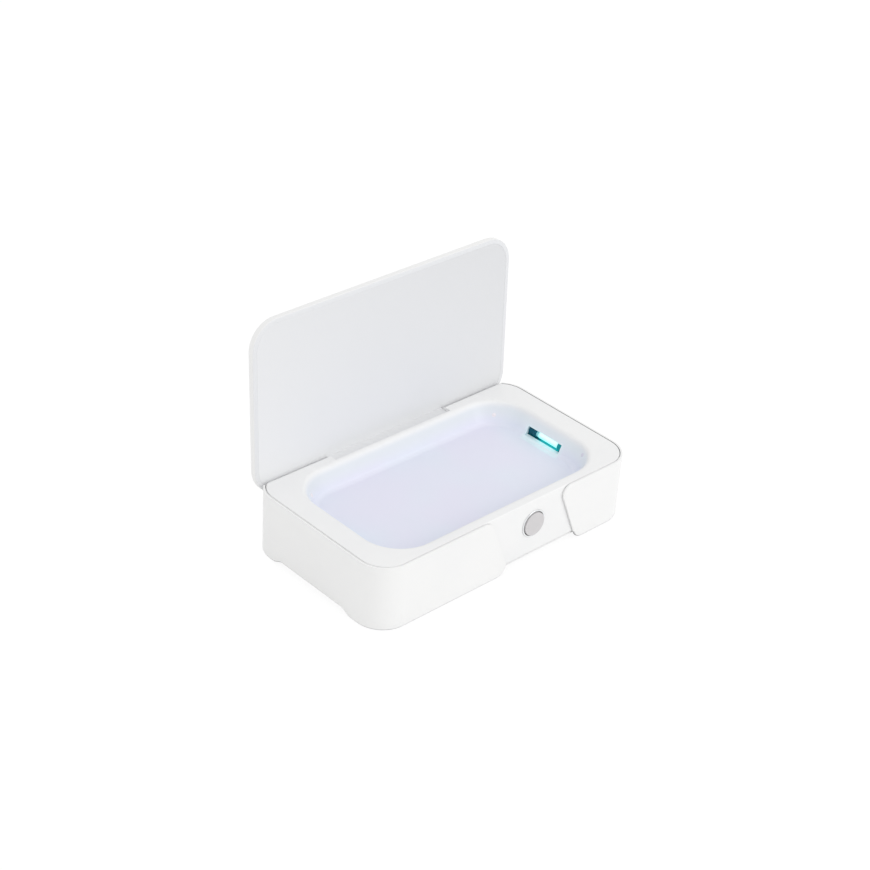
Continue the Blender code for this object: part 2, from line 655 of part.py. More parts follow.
def arch_cutter():
    """Lifts the covers' lower edge between the feet at both ends of the box."""
    low = COVER_BOTTOM_Z - OVERRUN
    run = ARCH_SLOPE_RUN * (ARCH_HEIGHT - low) / (ARCH_HEIGHT - COVER_BOTTOM_Z)
    front_top = (ARCH_FRONT_FOOT - HALF_DEPTH + ARCH_SLOPE_RUN, ARCH_HEIGHT)
    rear_top = (HALF_DEPTH - ARCH_REAR_FOOT - ARCH_SLOPE_RUN, ARCH_HEIGHT)
    front_foot = (front_top[0] - run, low)
    rear_foot = (rear_top[0] + run, low)
    outline = [front_foot]
    outline += rounded_corner(front_foot, front_top, rear_top, ARCH_ROUND)
    outline += rounded_corner(front_top, rear_top, rear_foot, ARCH_ROUND)
    outline.append(rear_foot)
    return extrusion("foot_arch_cutter", outline, BODY_LENGTH + OVERRUN, ACROSS_X)


def wrap_covers(recess):
    arch = arch_cutter()
    rear_top_z = HINGE_Z - RECESS_FLOOR_DROP
    past_front = -HALF_DEPTH - OVERRUN
    past_rear = HALF_DEPTH + OVERRUN
    ends = {
        "left_wrap_cover": (-1, COVER_LEFT_END_TOP_X, COVER_LEFT_END_BOTTOM_X),
        "right_wrap_cover": (1, COVER_RIGHT_END_TOP_X, COVER_RIGHT_END_BOTTOM_X),
    }
    for name, (side, top_x, bottom_x) in ends.items():
        cover = loft(name, skin_rings(), WHITE_PLASTIC, tube=True)
        rear_x = (side * COVER_REAR_END_TOP_X, side * COVER_REAR_END_BOTTOM_X)
        cut(cover, recess, arch)
        front_x = (top_x, bottom_x)
        cut(cover, end_cutter(name + "_front_cutter", side, *front_x, COVER_TOP_Z, past_front, OVERRUN))
        cut(cover, end_cutter(name + "_rear_cutter", side, *rear_x, rear_top_z, -OVERRUN, past_rear))


def lid_outline(inset):
    radius = LID_CORNER_RADIUS - inset
    return rounded_rectangle(LID_LENGTH / 2 - inset, LID_FRONT + inset, LID_REAR - inset, radius)


def lid_outer_shell():
    """A shallow dish. In the lid's own frame it lies closed, with the hinge axis along X at the origin."""
    top = LID_PLANE + LID_THICKNESS
    top_centre = (LID_TOP_ROUND, top - LID_TOP_ROUND)
    low_centre = (LID_LOWER_ROUND, LID_PLANE + LID_LOWER_ROUND)
    top_round = arc_points(top_centre, LID_TOP_ROUND, math.pi / 2, math.pi)
    low_round = arc_points(low_centre, LID_LOWER_ROUND, math.pi, 3 * math.pi / 2, 2)
    rings = [ring_of(lid_outline(inset), z) for inset, z in top_round + low_round]
    rings.append(ring_of(lid_outline(LID_RIM), LID_PLANE))
    rings.append(ring_of(lid_outline(LID_RIM), top - LID_ROOF))
    return loft("lid_outer_shell", rings, WHITE_PLASTIC, LID)


def lid_inner_panel():
    """The panel that closes the lid, moulded with the hinge barrel."""
    inset = LID_RIM + CLEARANCE
    edge = PANEL_EDGE_ROUND
    section = [(inset + edge, LID_PLANE), (inset, LID_PLANE + edge), (inset, LID_PLANE + PANEL_THICKNESS)]
    panel = loft("lid_inner_panel", [ring_of(lid_outline(i), z) for i, z in section], LID_PLASTIC, LID)
    web_top = LID_PLANE + PANEL_THICKNESS / 2
    barrel = arc_points((0, 0), HINGE_RADIUS, math.pi, 2 * math.pi, 2 * CORNER_STEPS)
    web = [(-HINGE_RADIUS, web_top), *barrel, (HINGE_RADIUS, web_top)]
    join(panel, extrusion("hinge_barrel", web, 2 * HINGE_HALF_LENGTH, ACROSS_X, parent=LID))
    bore_length = HINGE_PIN_LENGTH - HINGE_PIN_IN_LUG + CLEARANCE
    for name, side in (("left", -1), ("right", 1)):
        start = (side * (HINGE_HALF_LENGTH - bore_length), 0, 0)
        length = bore_length + OVERRUN
        cut(panel, rod(f"barrel_bore_{name}", start, (side, 0, 0), length, PIN_BORE_RADIUS, parent=LID))
    return panel


def hinge_pins():
    for name, side in (("left", -1), ("right", 1)):
        outer = HINGE_HALF_LENGTH + CLEARANCE + HINGE_PIN_IN_LUG
        start = (side * (outer - HINGE_PIN_LENGTH), HINGE_Y, HINGE_Z)
        rod(f"hinge_pin_{name}", start, (side, 0, 0), HINGE_PIN_LENGTH, HINGE_PIN_RADIUS, STEEL)


def lid_magnets():
    for name, side in (("left", -1), ("right", 1)):
        start = (side * MAGNET_X, TRAY_MIDDLE_Y - HINGE_Y, LID_PLANE + PANEL_THICKNESS + CLEARANCE)
        rod(f"lid_magnet_{name}", start, (0, 0, 1), MAGNET_THICKNESS, MAGNET_RADIUS, STEEL, LID, ROUND_SIDES)


def lid_sensor():
    top = DECK_HEIGHT - HOUSING_WALL - CLEARANCE
    half = SENSOR_SIZE / 2
    low = (-MAGNET_X - half, TRAY_MIDDLE_Y - half, top - SENSOR_THICKNESS)
    block("lid_sensor", low, (-MAGNET_X + half, TRAY_MIDDLE_Y + half, top), SOCKET_BLACK)


def reflector_outline():
    """Half round behind the lamp, with a lower lip that runs in to the tray's wall."""
    inner = SOCKET_RADIUS + CLEARANCE
    outer = inner + REFLECTOR_WALL
    lamp_x, _, lamp_z = lamp_place()
    lip_x = TRAY_HALF_LENGTH - tray_underside_inset(DECK_HEIGHT - lamp_z + inner, CLEARANCE) - lamp_x
    inner_arc = arc_points((0, 0), inner, REFLECTOR_TOP_ANGLE, -math.pi / 2, CORNER_STEPS)
    outer_arc = arc_points((0, 0), outer, -math.pi / 2, REFLECTOR_TOP_ANGLE, CORNER_STEPS)
    return [*inner_arc, (lip_x, -inner), (lip_x, -outer), *outer_arc]


def lamps():
    """Each lamp lies along Y in a reflector, held by a short socket in front and a long one behind."""
    lamp_x, lamp_y, lamp_z = lamp_place()
    ends = lamp_y - WINDOW_HALF_LENGTH + CLEARANCE, lamp_y + WINDOW_HALF_LENGTH - CLEARANCE
    lamp_front = ends[0] + SOCKET_FRONT_LENGTH - SOCKET_GRIP
    lamp_rear = ends[1] - SOCKET_REAR_LENGTH + SOCKET_GRIP
    sockets = (
        ("front", 1, ends[0], SOCKET_FRONT_LENGTH, lamp_front),
        ("rear", -1, ends[1], SOCKET_REAR_LENGTH, lamp_rear),
    )
    for name, side in (("left", -1), ("right", 1)):
        x = side * lamp_x
        outline = [(side * across, up) for across, up in reflector_outline()]
        placing = Matrix.Translation((x, lamp_y, lamp_z)) @ ACROSS_Y
        length = 2 * (WINDOW_HALF_LENGTH + REFLECTOR_END_REACH)
        extrusion(f"lamp_reflector_{name}", outline, length, placing, REFLECTOR_BLUE)
        start = (x, lamp_front, lamp_z)
        tube = rod(f"uv_lamp_{name}", start, (0, 1, 0), lamp_rear - lamp_front, LAMP_RADIUS, LAMP_GLASS)
        soften(tube, LAMP_END_ROUND)
        for end, toward, outer_y, length, lamp_end in sockets:
            node = f"lamp_socket_{name}_{end}"
            start = (x, outer_y, lamp_z)
            socket = rod(node, start, (0, toward, 0), length, SOCKET_RADIUS, SOCKET_BLACK)
            start = (x, lamp_end - toward * CLEARANCE, lamp_z)
            bore_radius = LAMP_RADIUS + CLEARANCE
            cut(socket, rod(node + "_bore", start, (0, toward, 0), length + OVERRUN, bore_radius))


def button_bezel():
    """A turned ring: rim on the panel, barrel through it and a retaining flange behind."""
    rim_back = BEZEL_FRONT - BEZEL_RIM
    flange_front = BEZEL_REAR + BEZEL_FLANGE
    rounding = BEZEL_RIM / 2
    profile = [(BEZEL_BORE_RADIUS, BEZEL_FRONT - rounding), (BEZEL_BORE_RADIUS + rounding, BEZEL_FRONT)]
    profile += [(BEZEL_RADIUS - rounding, BEZEL_FRONT), (BEZEL_RADIUS, BEZEL_FRONT - rounding)]
    profile += [(BEZEL_RADIUS, rim_back), (BEZEL_BARREL_RADIUS, rim_back)]
    profile += [(BEZEL_BARREL_RADIUS, flange_front), (BEZEL_FLANGE_RADIUS, flange_front)]
    profile += [(BEZEL_FLANGE_RADIUS, BEZEL_REAR), (BEZEL_BORE_RADIUS, BEZEL_REAR)]
    turned("button_bezel", profile, ACROSS_Y, CHROME, BUTTON)


def button_cap():
    """A turned cap, a little dished, kept behind the bezel by a flange, with a stem for the switch."""
    face = BEZEL_FRONT - CAP_SUNK
    outer = BEZEL_BORE_RADIUS - CLEARANCE
    flange_top = BEZEL_REAR - CLEARANCE
    flange_low = flange_top - CAP_FLANGE
    stem_end = SWITCH_FRONT + SWITCH_STEM_PROUD + CLEARANCE
    dish = face - CAP_DISH
    roof = dish - CAP_FACE
    inner = outer - CAP_WALL
    profile = [(0.0, dish)]
    profile += [(outer * share, dish + CAP_DISH * share**2) for share in CAP_DISH_SHARES]
    profile += [(outer - CAP_EDGE_ROUND, face), (outer, face - CAP_EDGE_ROUND), (outer, flange_top)]
    profile += [(CAP_FLANGE_RADIUS, flange_top), (CAP_FLANGE_RADIUS, flange_low), (inner, flange_low)]
    profile += [(inner, roof), (CAP_STEM_RADIUS, roof), (CAP_STEM_RADIUS, stem_end), (0.0, stem_end)]
    turned("button_cap", profile, ACROSS_Y, BUTTON_GREY, BUTTON)


def button_switch():
    """The switch on its board: the plunger slides in the switch's bore and moves with the cap."""
    front = -SWITCH_FRONT
    half = SWITCH_SIZE / 2
    far = (half, front + SWITCH_DEPTH, half)
    body = block("tact_switch", (-half, front, -half), far, SOCKET_BLACK, BUTTON)
    bore_start = (0, front - OVERRUN, 0)
    bore_length = OVERRUN + SWITCH_BORE_DEPTH
    bore_radius = SWITCH_STEM_RADIUS + CLEARANCE
    cut(body, rod("switch_bore_cutter", bore_start, (0, 1, 0), bore_length, bore_radius, parent=BUTTON))
    proud_start = (0, front - SWITCH_STEM_PROUD, 0)
    stem_length = SWITCH_STEM_PROUD + SWITCH_BORE_DEPTH - BUTTON_TRAVEL - CLEARANCE
    rod("switch_plunger", proud_start, (0, 1, 0), stem_length, SWITCH_STEM_RADIUS, BUTTON_GREY, BUTTON)
    top = BUTTON_BOARD_HEIGHT / 2 - BUTTON_BOARD_DROP
    low = (-BUTTON_BOARD_HALF, -BUTTON_BOARD_FRONT, top - BUTTON_BOARD_HEIGHT)
    high = (BUTTON_BOARD_HALF, BUTTON_BOARD_THICKNESS - BUTTON_BOARD_FRONT, top)
    block("button_board", low, high, BOARD_GREEN, BUTTON)


def screw(name, seat, length, head_side):
    """A pan head with a round drive recess, above its seat if head_side is 1 and below it if -1."""
    placing = Matrix.Translation(seat) @ Matrix.Diagonal((1, head_side, head_side, 1))
    head = SCREW_HEAD_HEIGHT
    recess = head - SCREW_RECESS_DEPTH
    crown = SCREW_HEAD_RADIUS - SCREW_CROWN
    tip = SCREW_SHANK_RADIUS - SCREW_TIP
    profile = [(0.0, recess), (SCREW_RECESS_RADIUS, recess), (SCREW_RECESS_RADIUS, head), (crown, head)]
    profile += [(SCREW_HEAD_RADIUS, head - SCREW_CROWN), (SCREW_HEAD_RADIUS, 0.0), (SCREW_SHANK_RADIUS, 0.0)]
    profile += [(SCREW_SHANK_RADIUS, SCREW_TIP - length), (tip, -length), (0.0, -length)]
    turned(name, profile, placing, STEEL, sides=SMALL_SIDES)


def board_posts():
    """(name, x, y) of the four posts under the main board."""
    x = BOARD_LENGTH / 2 - BOARD_SCREW_INSET
    columns = (("left", -x), ("right", x))
    rows = (("front", BOARD_FRONT_Y + BOARD_SCREW_INSET), ("rear", BOARD_REAR_Y - BOARD_SCREW_INSET))
    return [(f"{end}_{side}", x, y) for end, y in rows for side, x in columns]


def foot_places():
    columns = (("left", -FOOT_X), ("right", FOOT_X))
    rows = (("front", -FOOT_Y), ("rear", FOOT_Y))
    return [(f"{end}_{side}", x, y) for end, y in rows for side, x in columns]


def bottom_cover():
    """A flat dish under the housing, with a lip inside its walls, posts, rails and seats for the feet."""
    lip = HOUSING_WALL + CLEARANCE
    lip_top = BASE_RIM_Z + BASE_LIP_HEIGHT
    rings = [
        ring_of(housing_outline(BASE_EDGE_INSET + BASE_CHAMFER), BASE_BOTTOM_Z),
        ring_of(housing_outline(BASE_EDGE_INSET), BASE_BOTTOM_Z + BASE_CHAMFER),
        ring_of(housing_outline(BASE_EDGE_INSET), BASE_RIM_Z),
        ring_of(housing_outline(lip, HOUSING_REAR_EXTRA), BASE_RIM_Z),
        ring_of(housing_outline(lip, HOUSING_REAR_EXTRA), lip_top),
        ring_of(housing_outline(lip + BASE_LIP_WALL, HOUSING_REAR_EXTRA), lip_top),
        ring_of(housing_outline(lip + BASE_LIP_WALL, HOUSING_REAR_EXTRA), BASE_FLOOR_Z),
    ]
    cover = loft("bottom_cover", rings, WHITE_PLASTIC)
    inside_floor = BASE_FLOOR_Z - BASE_FLOOR / 2
    for i, (x, y) in enumerate(case_bosses()):
        height = CASE_BOSS_BOTTOM_Z - CLEARANCE - inside_floor
        join(cover, rod(f"base_boss_{i}", (x, y, inside_floor), (0, 0, 1), height, BASE_BOSS_RADIUS))
    for name, x, y in board_posts():
        height = BASE_FLOOR_Z + BOARD_POST_HEIGHT - inside_floor
        join(cover, rod(f"board_post_{name}", (x, y, inside_floor), (0, 0, 1), height, BOARD_POST_RADIUS))
    for name, side in (("left", -1), ("right", 1)):
        near = DRIVER_LENGTH / 2 + CLEARANCE
        low = (DRIVER_X + side * near, DRIVER_Y - DRIVER_DEPTH / 2, inside_floor)
        high = (DRIVER_X + side * (near + RAIL_WALL), DRIVER_Y + DRIVER_DEPTH / 2, BASE_FLOOR_Z + RAIL_HEIGHT)
        join(cover, block(f"driver_rail_{name}", low, high))
    for i, (x, y) in enumerate(case_bosses()):
        through = CASE_BOSS_BOTTOM_Z + OVERRUN
        cut(cover, rod(f"base_bore_{i}", (x, y, 0), (0, 0, 1), through, SCREW_BORE_RADIUS))
        pocket = CASE_SCREW_SEAT_Z + CLEARANCE
        cut(cover, rod(f"base_counterbore_{i}", (x, y, 0), (0, 0, 1), pocket, SCREW_HEAD_RADIUS + CLEARANCE))
    for name, x, y in board_posts():
        length = BOARD_POST_HEIGHT + OVERRUN
        cut(cover, rod(f"board_post_bore_{name}", (x, y, BASE_FLOOR_Z), (0, 0, 1), length, SCREW_BORE_RADIUS))
    for name, x, y in foot_places():
        depth = BASE_BOTTOM_Z + FOOT_SEAT_DEPTH
        radius = FOOT_RADIUS + CLEARANCE
        seat = rod(f"foot_seat_{name}", (x, y, 0), (0, 0, 1), depth, radius, sides=ROUND_SIDES)
        cut(cover, seat)
    return cover


def feet():
    top = BASE_BOTTOM_Z + FOOT_SEAT_DEPTH - CLEARANCE
    edge = FOOT_EDGE_ROUND
    profile = [(0.0, top), (FOOT_RADIUS, top), (FOOT_RADIUS, edge), (FOOT_RADIUS - edge, 0.0), (0.0, 0.0)]
    for name, x, y in foot_places():
        turned(f"rubber_foot_{name}", profile, Matrix.Translation((x, y, 0)), RUBBER)


def case_screws():
    for i, (x, y) in enumerate(case_bosses()):
        end = "front" if y < 0 else "rear"
        side = "left" if x < 0 else "right"
        screw(f"case_screw_{end}_{side}", (x, y, CASE_SCREW_SEAT_Z), CASE_SCREW_LENGTH, -1)


def main_board():
    board = block("main_board", (-BOARD_LENGTH / 2, BOARD_FRONT_Y, BOARD_Z),
                  (BOARD_LENGTH / 2, BOARD_REAR_Y, BOARD_Z + BOARD_THICKNESS), BOARD_GREEN)
    seat = BOARD_Z + BOARD_THICKNESS + CLEARANCE
    for name, x, y in board_posts():
        start = (x, y, BOARD_Z - OVERRUN)
        length = BOARD_THICKNESS + 2 * OVERRUN
        cut(board, rod(f"board_hole_{name}", start, (0, 0, 1), length, SCREW_BORE_RADIUS))
        screw(f"board_screw_{name}", (x, y, seat), BOARD_SCREW_LENGTH, 1)


def charging_port():
    """A flat oval socket on the board's rear edge, with the contact tongue inside it."""
    length = PORT_LENGTH
    centre_y = HOUSING_HALF_DEPTH - PORT_SUNK - length / 2
    placing = Matrix.Translation((0, centre_y, PORT_Z)) @ ACROSS_Y
    port = extrusion("charging_port", port_outline(0), length, placing, STEEL)
    mouth = Matrix.Translation((0, centre_y + length / 2, PORT_Z)) @ ACROSS_Y
    cut(port, extrusion("port_mouth_cutter", port_outline(-PORT_WALL), 2 * (length - 3 * PORT_WALL), mouth))
    half_width = PORT_TONGUE_WIDTH / 2
    half_height = PORT_TONGUE_THICKNESS / 2
    low = (-half_width, centre_y - length / 2 + PORT_WALL, PORT_Z - half_height)
    high = (half_width, centre_y + length / 2 - 2 * PORT_WALL, PORT_Z + half_height)
    join(port, block("port_tongue", low, high))


def lamp_driver():
    bottom = BASE_FLOOR_Z + CLEARANCE
    low = (DRIVER_X - DRIVER_LENGTH / 2, DRIVER_Y - DRIVER_DEPTH / 2, bottom)
    high = (DRIVER_X + DRIVER_LENGTH / 2, DRIVER_Y + DRIVER_DEPTH / 2, bottom + DRIVER_HEIGHT)
    soften(block("lamp_driver", low, high, SOCKET_BLACK), SOFT_EDGE)


def charging_coil():
    """Coil, ferrite and carrier stacked under the middle of the tray floor."""
    middle_y = TRAY_MIDDLE_Y
    coil_top = TRAY_UNDERSIDE_Z - CLEARANCE
    coil_low = coil_top - COIL_THICKNESS
    profile = [(COIL_BORE_RADIUS, coil_top), (COIL_RADIUS, coil_top)]
    profile += [(COIL_RADIUS, coil_low), (COIL_BORE_RADIUS, coil_low)]
    turned("charging_coil", profile, Matrix.Translation((0, middle_y, 0)), COPPER)
    ferrite_top = coil_low - CLEARANCE
    half = FERRITE_HALF
    block("ferrite_sheet", (-half, middle_y - half, ferrite_top - FERRITE_THICKNESS),
          (half, middle_y + half, ferrite_top), FERRITE_BLACK)
    carrier_top = ferrite_top - FERRITE_THICKNESS - CLEARANCE
    half = CARRIER_HALF
    outline = rounded_rectangle(half, middle_y - half, middle_y + half, CARRIER_CORNER_RADIUS, ROUND_STEPS)
    placing = Matrix.Translation((0, 0, carrier_top - CARRIER_THICKNESS / 2))
    carrier = extrusion("coil_carrier", outline, CARRIER_THICKNESS, placing, WHITE_PLASTIC)
    inset = half - CARRIER_POST_RADIUS - 2 * CLEARANCE
    low = carrier_top - CARRIER_THICKNESS / 2
    for i, (x, y) in enumerate(((-1, -1), (1, -1), (1, 1), (-1, 1))):
        start = (x * inset, middle_y + y * inset, low)
        join(carrier, rod(f"carrier_post_{i}", start, (0, 0, 1), coil_top - low, CARRIER_POST_RADIUS))


def build():
    upper_housing()
    wrap_covers(bpy.data.objects["lid_recess_cutter"])
    lid_outer_shell()
    lid_inner_panel()
    hinge_pins()
    lid_magnets()
    lid_sensor()
    lamps()
    button_bezel()
    button_cap()
    button_switch()
    bottom_cover()
    feet()
    case_screws()
    main_board()
    charging_port()
    lamp_driver()
    charging_coil()


build()
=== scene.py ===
# %% [markdown]
# # A box with a lid that cleans small things with ultraviolet light
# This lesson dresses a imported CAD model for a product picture. The real object is a white
# moulded box, 215 mm long, that stands open. Two thin white skins wrap round its ends, a lamp
# glows behind the end wall of its tray, and a chrome ring holds the button on its front.
# Each step says what a piece is, how it could be made, and why it is made this way.

import math

import bmesh
import bpy
from mathutils import Matrix, Vector


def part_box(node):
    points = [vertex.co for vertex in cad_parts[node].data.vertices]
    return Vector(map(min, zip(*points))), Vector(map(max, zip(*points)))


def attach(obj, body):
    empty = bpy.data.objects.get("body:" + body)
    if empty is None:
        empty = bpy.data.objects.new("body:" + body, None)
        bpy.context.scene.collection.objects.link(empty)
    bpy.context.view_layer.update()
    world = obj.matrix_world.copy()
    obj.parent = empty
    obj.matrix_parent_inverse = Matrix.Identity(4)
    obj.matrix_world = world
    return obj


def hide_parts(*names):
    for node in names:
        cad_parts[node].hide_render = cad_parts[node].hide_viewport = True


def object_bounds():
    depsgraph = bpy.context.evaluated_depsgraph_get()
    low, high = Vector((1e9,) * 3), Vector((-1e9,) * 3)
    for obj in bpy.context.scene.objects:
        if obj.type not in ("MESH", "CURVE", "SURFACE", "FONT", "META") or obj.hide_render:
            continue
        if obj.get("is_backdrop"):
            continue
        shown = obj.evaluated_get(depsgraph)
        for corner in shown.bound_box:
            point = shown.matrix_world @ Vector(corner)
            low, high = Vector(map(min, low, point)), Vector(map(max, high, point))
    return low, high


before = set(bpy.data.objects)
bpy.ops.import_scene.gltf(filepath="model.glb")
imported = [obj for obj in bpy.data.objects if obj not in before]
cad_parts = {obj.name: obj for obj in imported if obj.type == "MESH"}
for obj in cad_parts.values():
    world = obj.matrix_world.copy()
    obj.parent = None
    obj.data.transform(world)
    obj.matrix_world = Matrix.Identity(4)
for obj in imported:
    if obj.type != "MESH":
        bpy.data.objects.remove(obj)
cad_low, cad_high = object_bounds()


def in_mm(lengths, digits=1):
    return [round(1000 * length, digits) for length in lengths]


def linked(name, data):
    """A new object with its data, in the scene."""
    made = bpy.data.objects.new(name, data)
    bpy.context.scene.collection.objects.link(made)
    return made


print("CAD box in mm:", in_mm(cad_high - cad_low))

# %% [markdown]
# ## The camera
# The photograph looks down on the front left corner with a long lens. A camera could be
# aimed by hand, but here its place comes from a fit to the outline of the box, so it is
# written as turns from a target: an angle round the object, a height angle, a small roll,
# and then a step aside, up and back. The CAD model is centred on its whole depth, lid
# included, so SHIFT moves what is written from the middle of the box into that frame.

# %% Camera
SHIFT = Vector((0.0, -0.0032948, 0.0))
CAMERA_TARGET = Vector((0.0, 0.0, 0.040))
CAMERA_AZIMUTH = math.radians(-44.470)
CAMERA_HEIGHT = math.radians(31.960)
CAMERA_ROLL = math.radians(3.771)
CAMERA_STEP = (-0.007152, 0.025202, 1.22068)

lens = bpy.data.cameras.new("product_camera")
lens.lens = 80.80
lens.sensor_width = 36.0
lens.clip_start = 0.05
lens.clip_end = 20.0
camera = linked("product_camera", lens)
camera.matrix_world = (
    Matrix.Translation(CAMERA_TARGET + SHIFT)
    @ Matrix.Rotation(CAMERA_AZIMUTH, 4, "Z")
    @ Matrix.Rotation(math.pi / 2 - CAMERA_HEIGHT, 4, "X")
    @ Matrix.Rotation(CAMERA_ROLL, 4, "Z")
    @ Matrix.Translation(CAMERA_STEP)
)
bpy.context.scene.camera = camera
bpy.context.scene.view_settings.view_transform = "Standard"
print("camera at", [round(value, 3) for value in camera.matrix_world.translation])

# %% [markdown]
# ## Shader maths as sums
# Node trees are quick to lose sight of. The small class below wraps one socket, so that
# `grain * 0.2 + 0.4` adds the Math nodes for it. A second class holds a tree: its method
# `node` takes a node's type, its settings and the values or links of its sockets, and
# every other node of this lesson comes from it. A third one holds one material.

# %% Shader helpers
class Wave:
    """One number that varies over a surface. Sums and products add Math nodes."""

    def __init__(self, tree, socket):
        self.tree = tree
        self.socket = socket

    def maths(self, operation, *others):
        sockets = dict(enumerate((self, *others)))
        node = self.tree.node("ShaderNodeMath", {"operation": operation}, sockets)
        return Wave(self.tree, node.outputs[0])

    def __add__(self, other):
        return self.maths("ADD", other)

    def __sub__(self, other):
        return self.maths("SUBTRACT", other)

    def __mul__(self, other):
        return self.maths("MULTIPLY", other)

    def __rsub__(self, other):
        return self.maths("MULTIPLY_ADD", -1.0, other)

    __radd__ = __add__
    __rmul__ = __mul__

    def step(self, low, high):
        """0 below low, 1 above high, with a soft change between them."""
        node = self.tree.node(
            "ShaderNodeMapRange",
            {"interpolation_type": "SMOOTHSTEP"},
            {"Value": self, "From Min": low, "From Max": high},
        )
        return Wave(self.tree, node.outputs["Result"])

    def near(self, middle, full, none):
        """1 up to a distance from a middle value, fading to 0 at a larger one."""
        return 1 - (self - middle).maths("ABSOLUTE").step(full, none)


class Tree:
    """A node tree, filled through one method."""

    def __init__(self, node_tree):
        self.nodes = node_tree.nodes
        self.links = node_tree.links

    def put(self, socket, value):
        """Links a wave or an output to a socket, or writes a plain value on it."""
        if isinstance(value, Wave):
            value = value.socket
        if isinstance(value, bpy.types.NodeSocket):
            self.links.new(value, socket)
        elif socket.type == "RGBA":
            socket.default_value = (*value, 1.0)
        else:
            socket.default_value = value

    def node(self, kind, settings=None, sockets=None):
        made = self.nodes.new(kind)
        for name, value in (settings or {}).items():
            setattr(made, name, value)
        for name, value in (sockets or {}).items():
            self.put(made.inputs[name], value)
        return made


class Finish(Tree):
    """One material: a Principled shader with the nodes that drive it."""

    def __init__(self, name, colour, roughness, **constants):
        self.material = bpy.data.materials.new(name)
        self.material.use_nodes = True
        super().__init__(self.material.node_tree)
        self.shader = self.nodes["Principled BSDF"]
        self.material.diffuse_color = (*colour, 1.0)
        self.drive(Base_Color=colour, Roughness=roughness, **constants)

    def drive(self, **sockets):
        for name, value in sockets.items():
            self.put(self.shader.inputs[name.replace("_", " ")], value)

    def colour(self):
        """The colour as driven so far, for one more layer over it."""
        return self.shader.inputs["Base Color"].links[0].from_socket

    def place(self, centre=(0.0, 0.0, 0.0), turn=(0.0, 0.0, 0.0)):
        """Object coordinates, moved so that a pattern is centred where the piece is."""
        coordinates = self.node("ShaderNodeTexCoord").outputs["Object"]
        mapping = self.node(
            "ShaderNodeMapping",
            {"vector_type": "TEXTURE"},
            {"Vector": coordinates, "Location": centre, "Rotation": turn},
        )
        return mapping.outputs["Vector"]

    def parts(self, vector):
        split = self.node("ShaderNodeSeparateXYZ", sockets={"Vector": vector})
        return [Wave(self, output) for output in split.outputs]

    def noise(self, vector, scale, detail, roughness=0.5):
        made = self.node(
            "ShaderNodeTexNoise",
            sockets={"Vector": vector, "Scale": scale, "Detail": detail, "Roughness": roughness},
        )
        return Wave(self, made.outputs["Fac"])

    def rings(self, vector, scale, **more):
        """Rings round a pattern's Z, as a lathe or a coil leaves them."""
        made = self.node(
            "ShaderNodeTexWave",
            {"wave_type": "RINGS", "rings_direction": "Z", "wave_profile": "SIN"},
            {"Vector": vector, "Scale": scale, **more},
        )
        return Wave(self, made.outputs["Fac"])

    def mix(self, factor, first, second):
        """A colour between two colours, each given as a value or as a socket."""
        made = self.node(
            "ShaderNodeMix", {"data_type": "RGBA"}, {"Factor": factor, 6: first, 7: second}
        )
        return made.outputs[2]

    def bump(self, height, strength, distance):
        made = self.node(
            "ShaderNodeBump", sockets={"Height": height, "Strength": strength, "Distance": distance}
        )
        self.drive(Normal=made.outputs["Normal"])


print("shader helpers ready")

# %% [markdown]
# ## White moulded plastic
# The box, its skins and the lid's shell are white plastic with a fine spark-eroded grain:
# a soft sheen, no mirror. The colour could be one flat value, but real mouldings have a
# faint cloud in the resin, a grain of about a third of a millimetre, and patches that
# hands have polished a little smoother than the rest.

# %% White plastic
BLACK = (0.0, 0.0, 0.0)
GRAIN_PER_METRE = 3400.0
CLOUD_PER_METRE = 28.0


def moulded(name, colour, shade, roughness, grain_depth=0.00002, sheen=0.5):
    """Moulded plastic: resin cloud in the colour, fine grain in the gloss and the surface."""
    made = Finish(name, colour, roughness, Specular_IOR_Level=sheen)
    where = made.place()
    cloud = made.noise(where, CLOUD_PER_METRE, 3.0)
    grain = made.noise(where, GRAIN_PER_METRE, 2.0, 0.6)
    specks = made.noise(where, GRAIN_PER_METRE / 6, 1.0)
    handled = made.noise(where, CLOUD_PER_METRE * 0.6, 1.0).step(0.55, 0.75)
    made.drive(
        Base_Color=made.mix(cloud.step(0.35, 0.75), colour, shade),
        Roughness=(grain - 0.5) * 0.16 + (specks - 0.5) * 0.08 - handled * 0.05 + roughness,
    )
    made.bump(grain * 0.7 + specks * 0.3, 0.35, grain_depth)
    return made


def white_plastic(name):
    return moulded(name, (0.890, 0.890, 0.885), (0.875, 0.876, 0.874), 0.38)


white = white_plastic("white_moulding")
print("material:", white.material.name)

# %% [markdown]
# ## Loops and skins
# Every shell in this object follows the same plan: a rectangle with round corners. The
# corners could be drawn by hand, but a grid of one square whose four corners are bevelled
# gives a perfect quarter circle at each. A shell is then a stack of such loops, bridged.

# %% Loops and skins
CORNER_SEGMENTS = 20
STOREY = 0.05
MERGE = 0.000001


class Plan:
    """A round-cornered rectangle: half its length, its front and rear, and its corner radius."""

    def __init__(self, half, front, rear, radius):
        self.half = half
        self.front = front
        self.rear = rear
        self.radius = radius

    def inset(self, inward, rear_extra=0.0):
        rear = self.rear - inward - rear_extra
        return Plan(self.half - inward, self.front + inward, rear, self.radius - inward)

    def rings(self, path):
        """(plan, height) pairs for a path of (inward, height) pairs, down a shell's side."""
        return [(self.inset(inward), height) for inward, height in path]


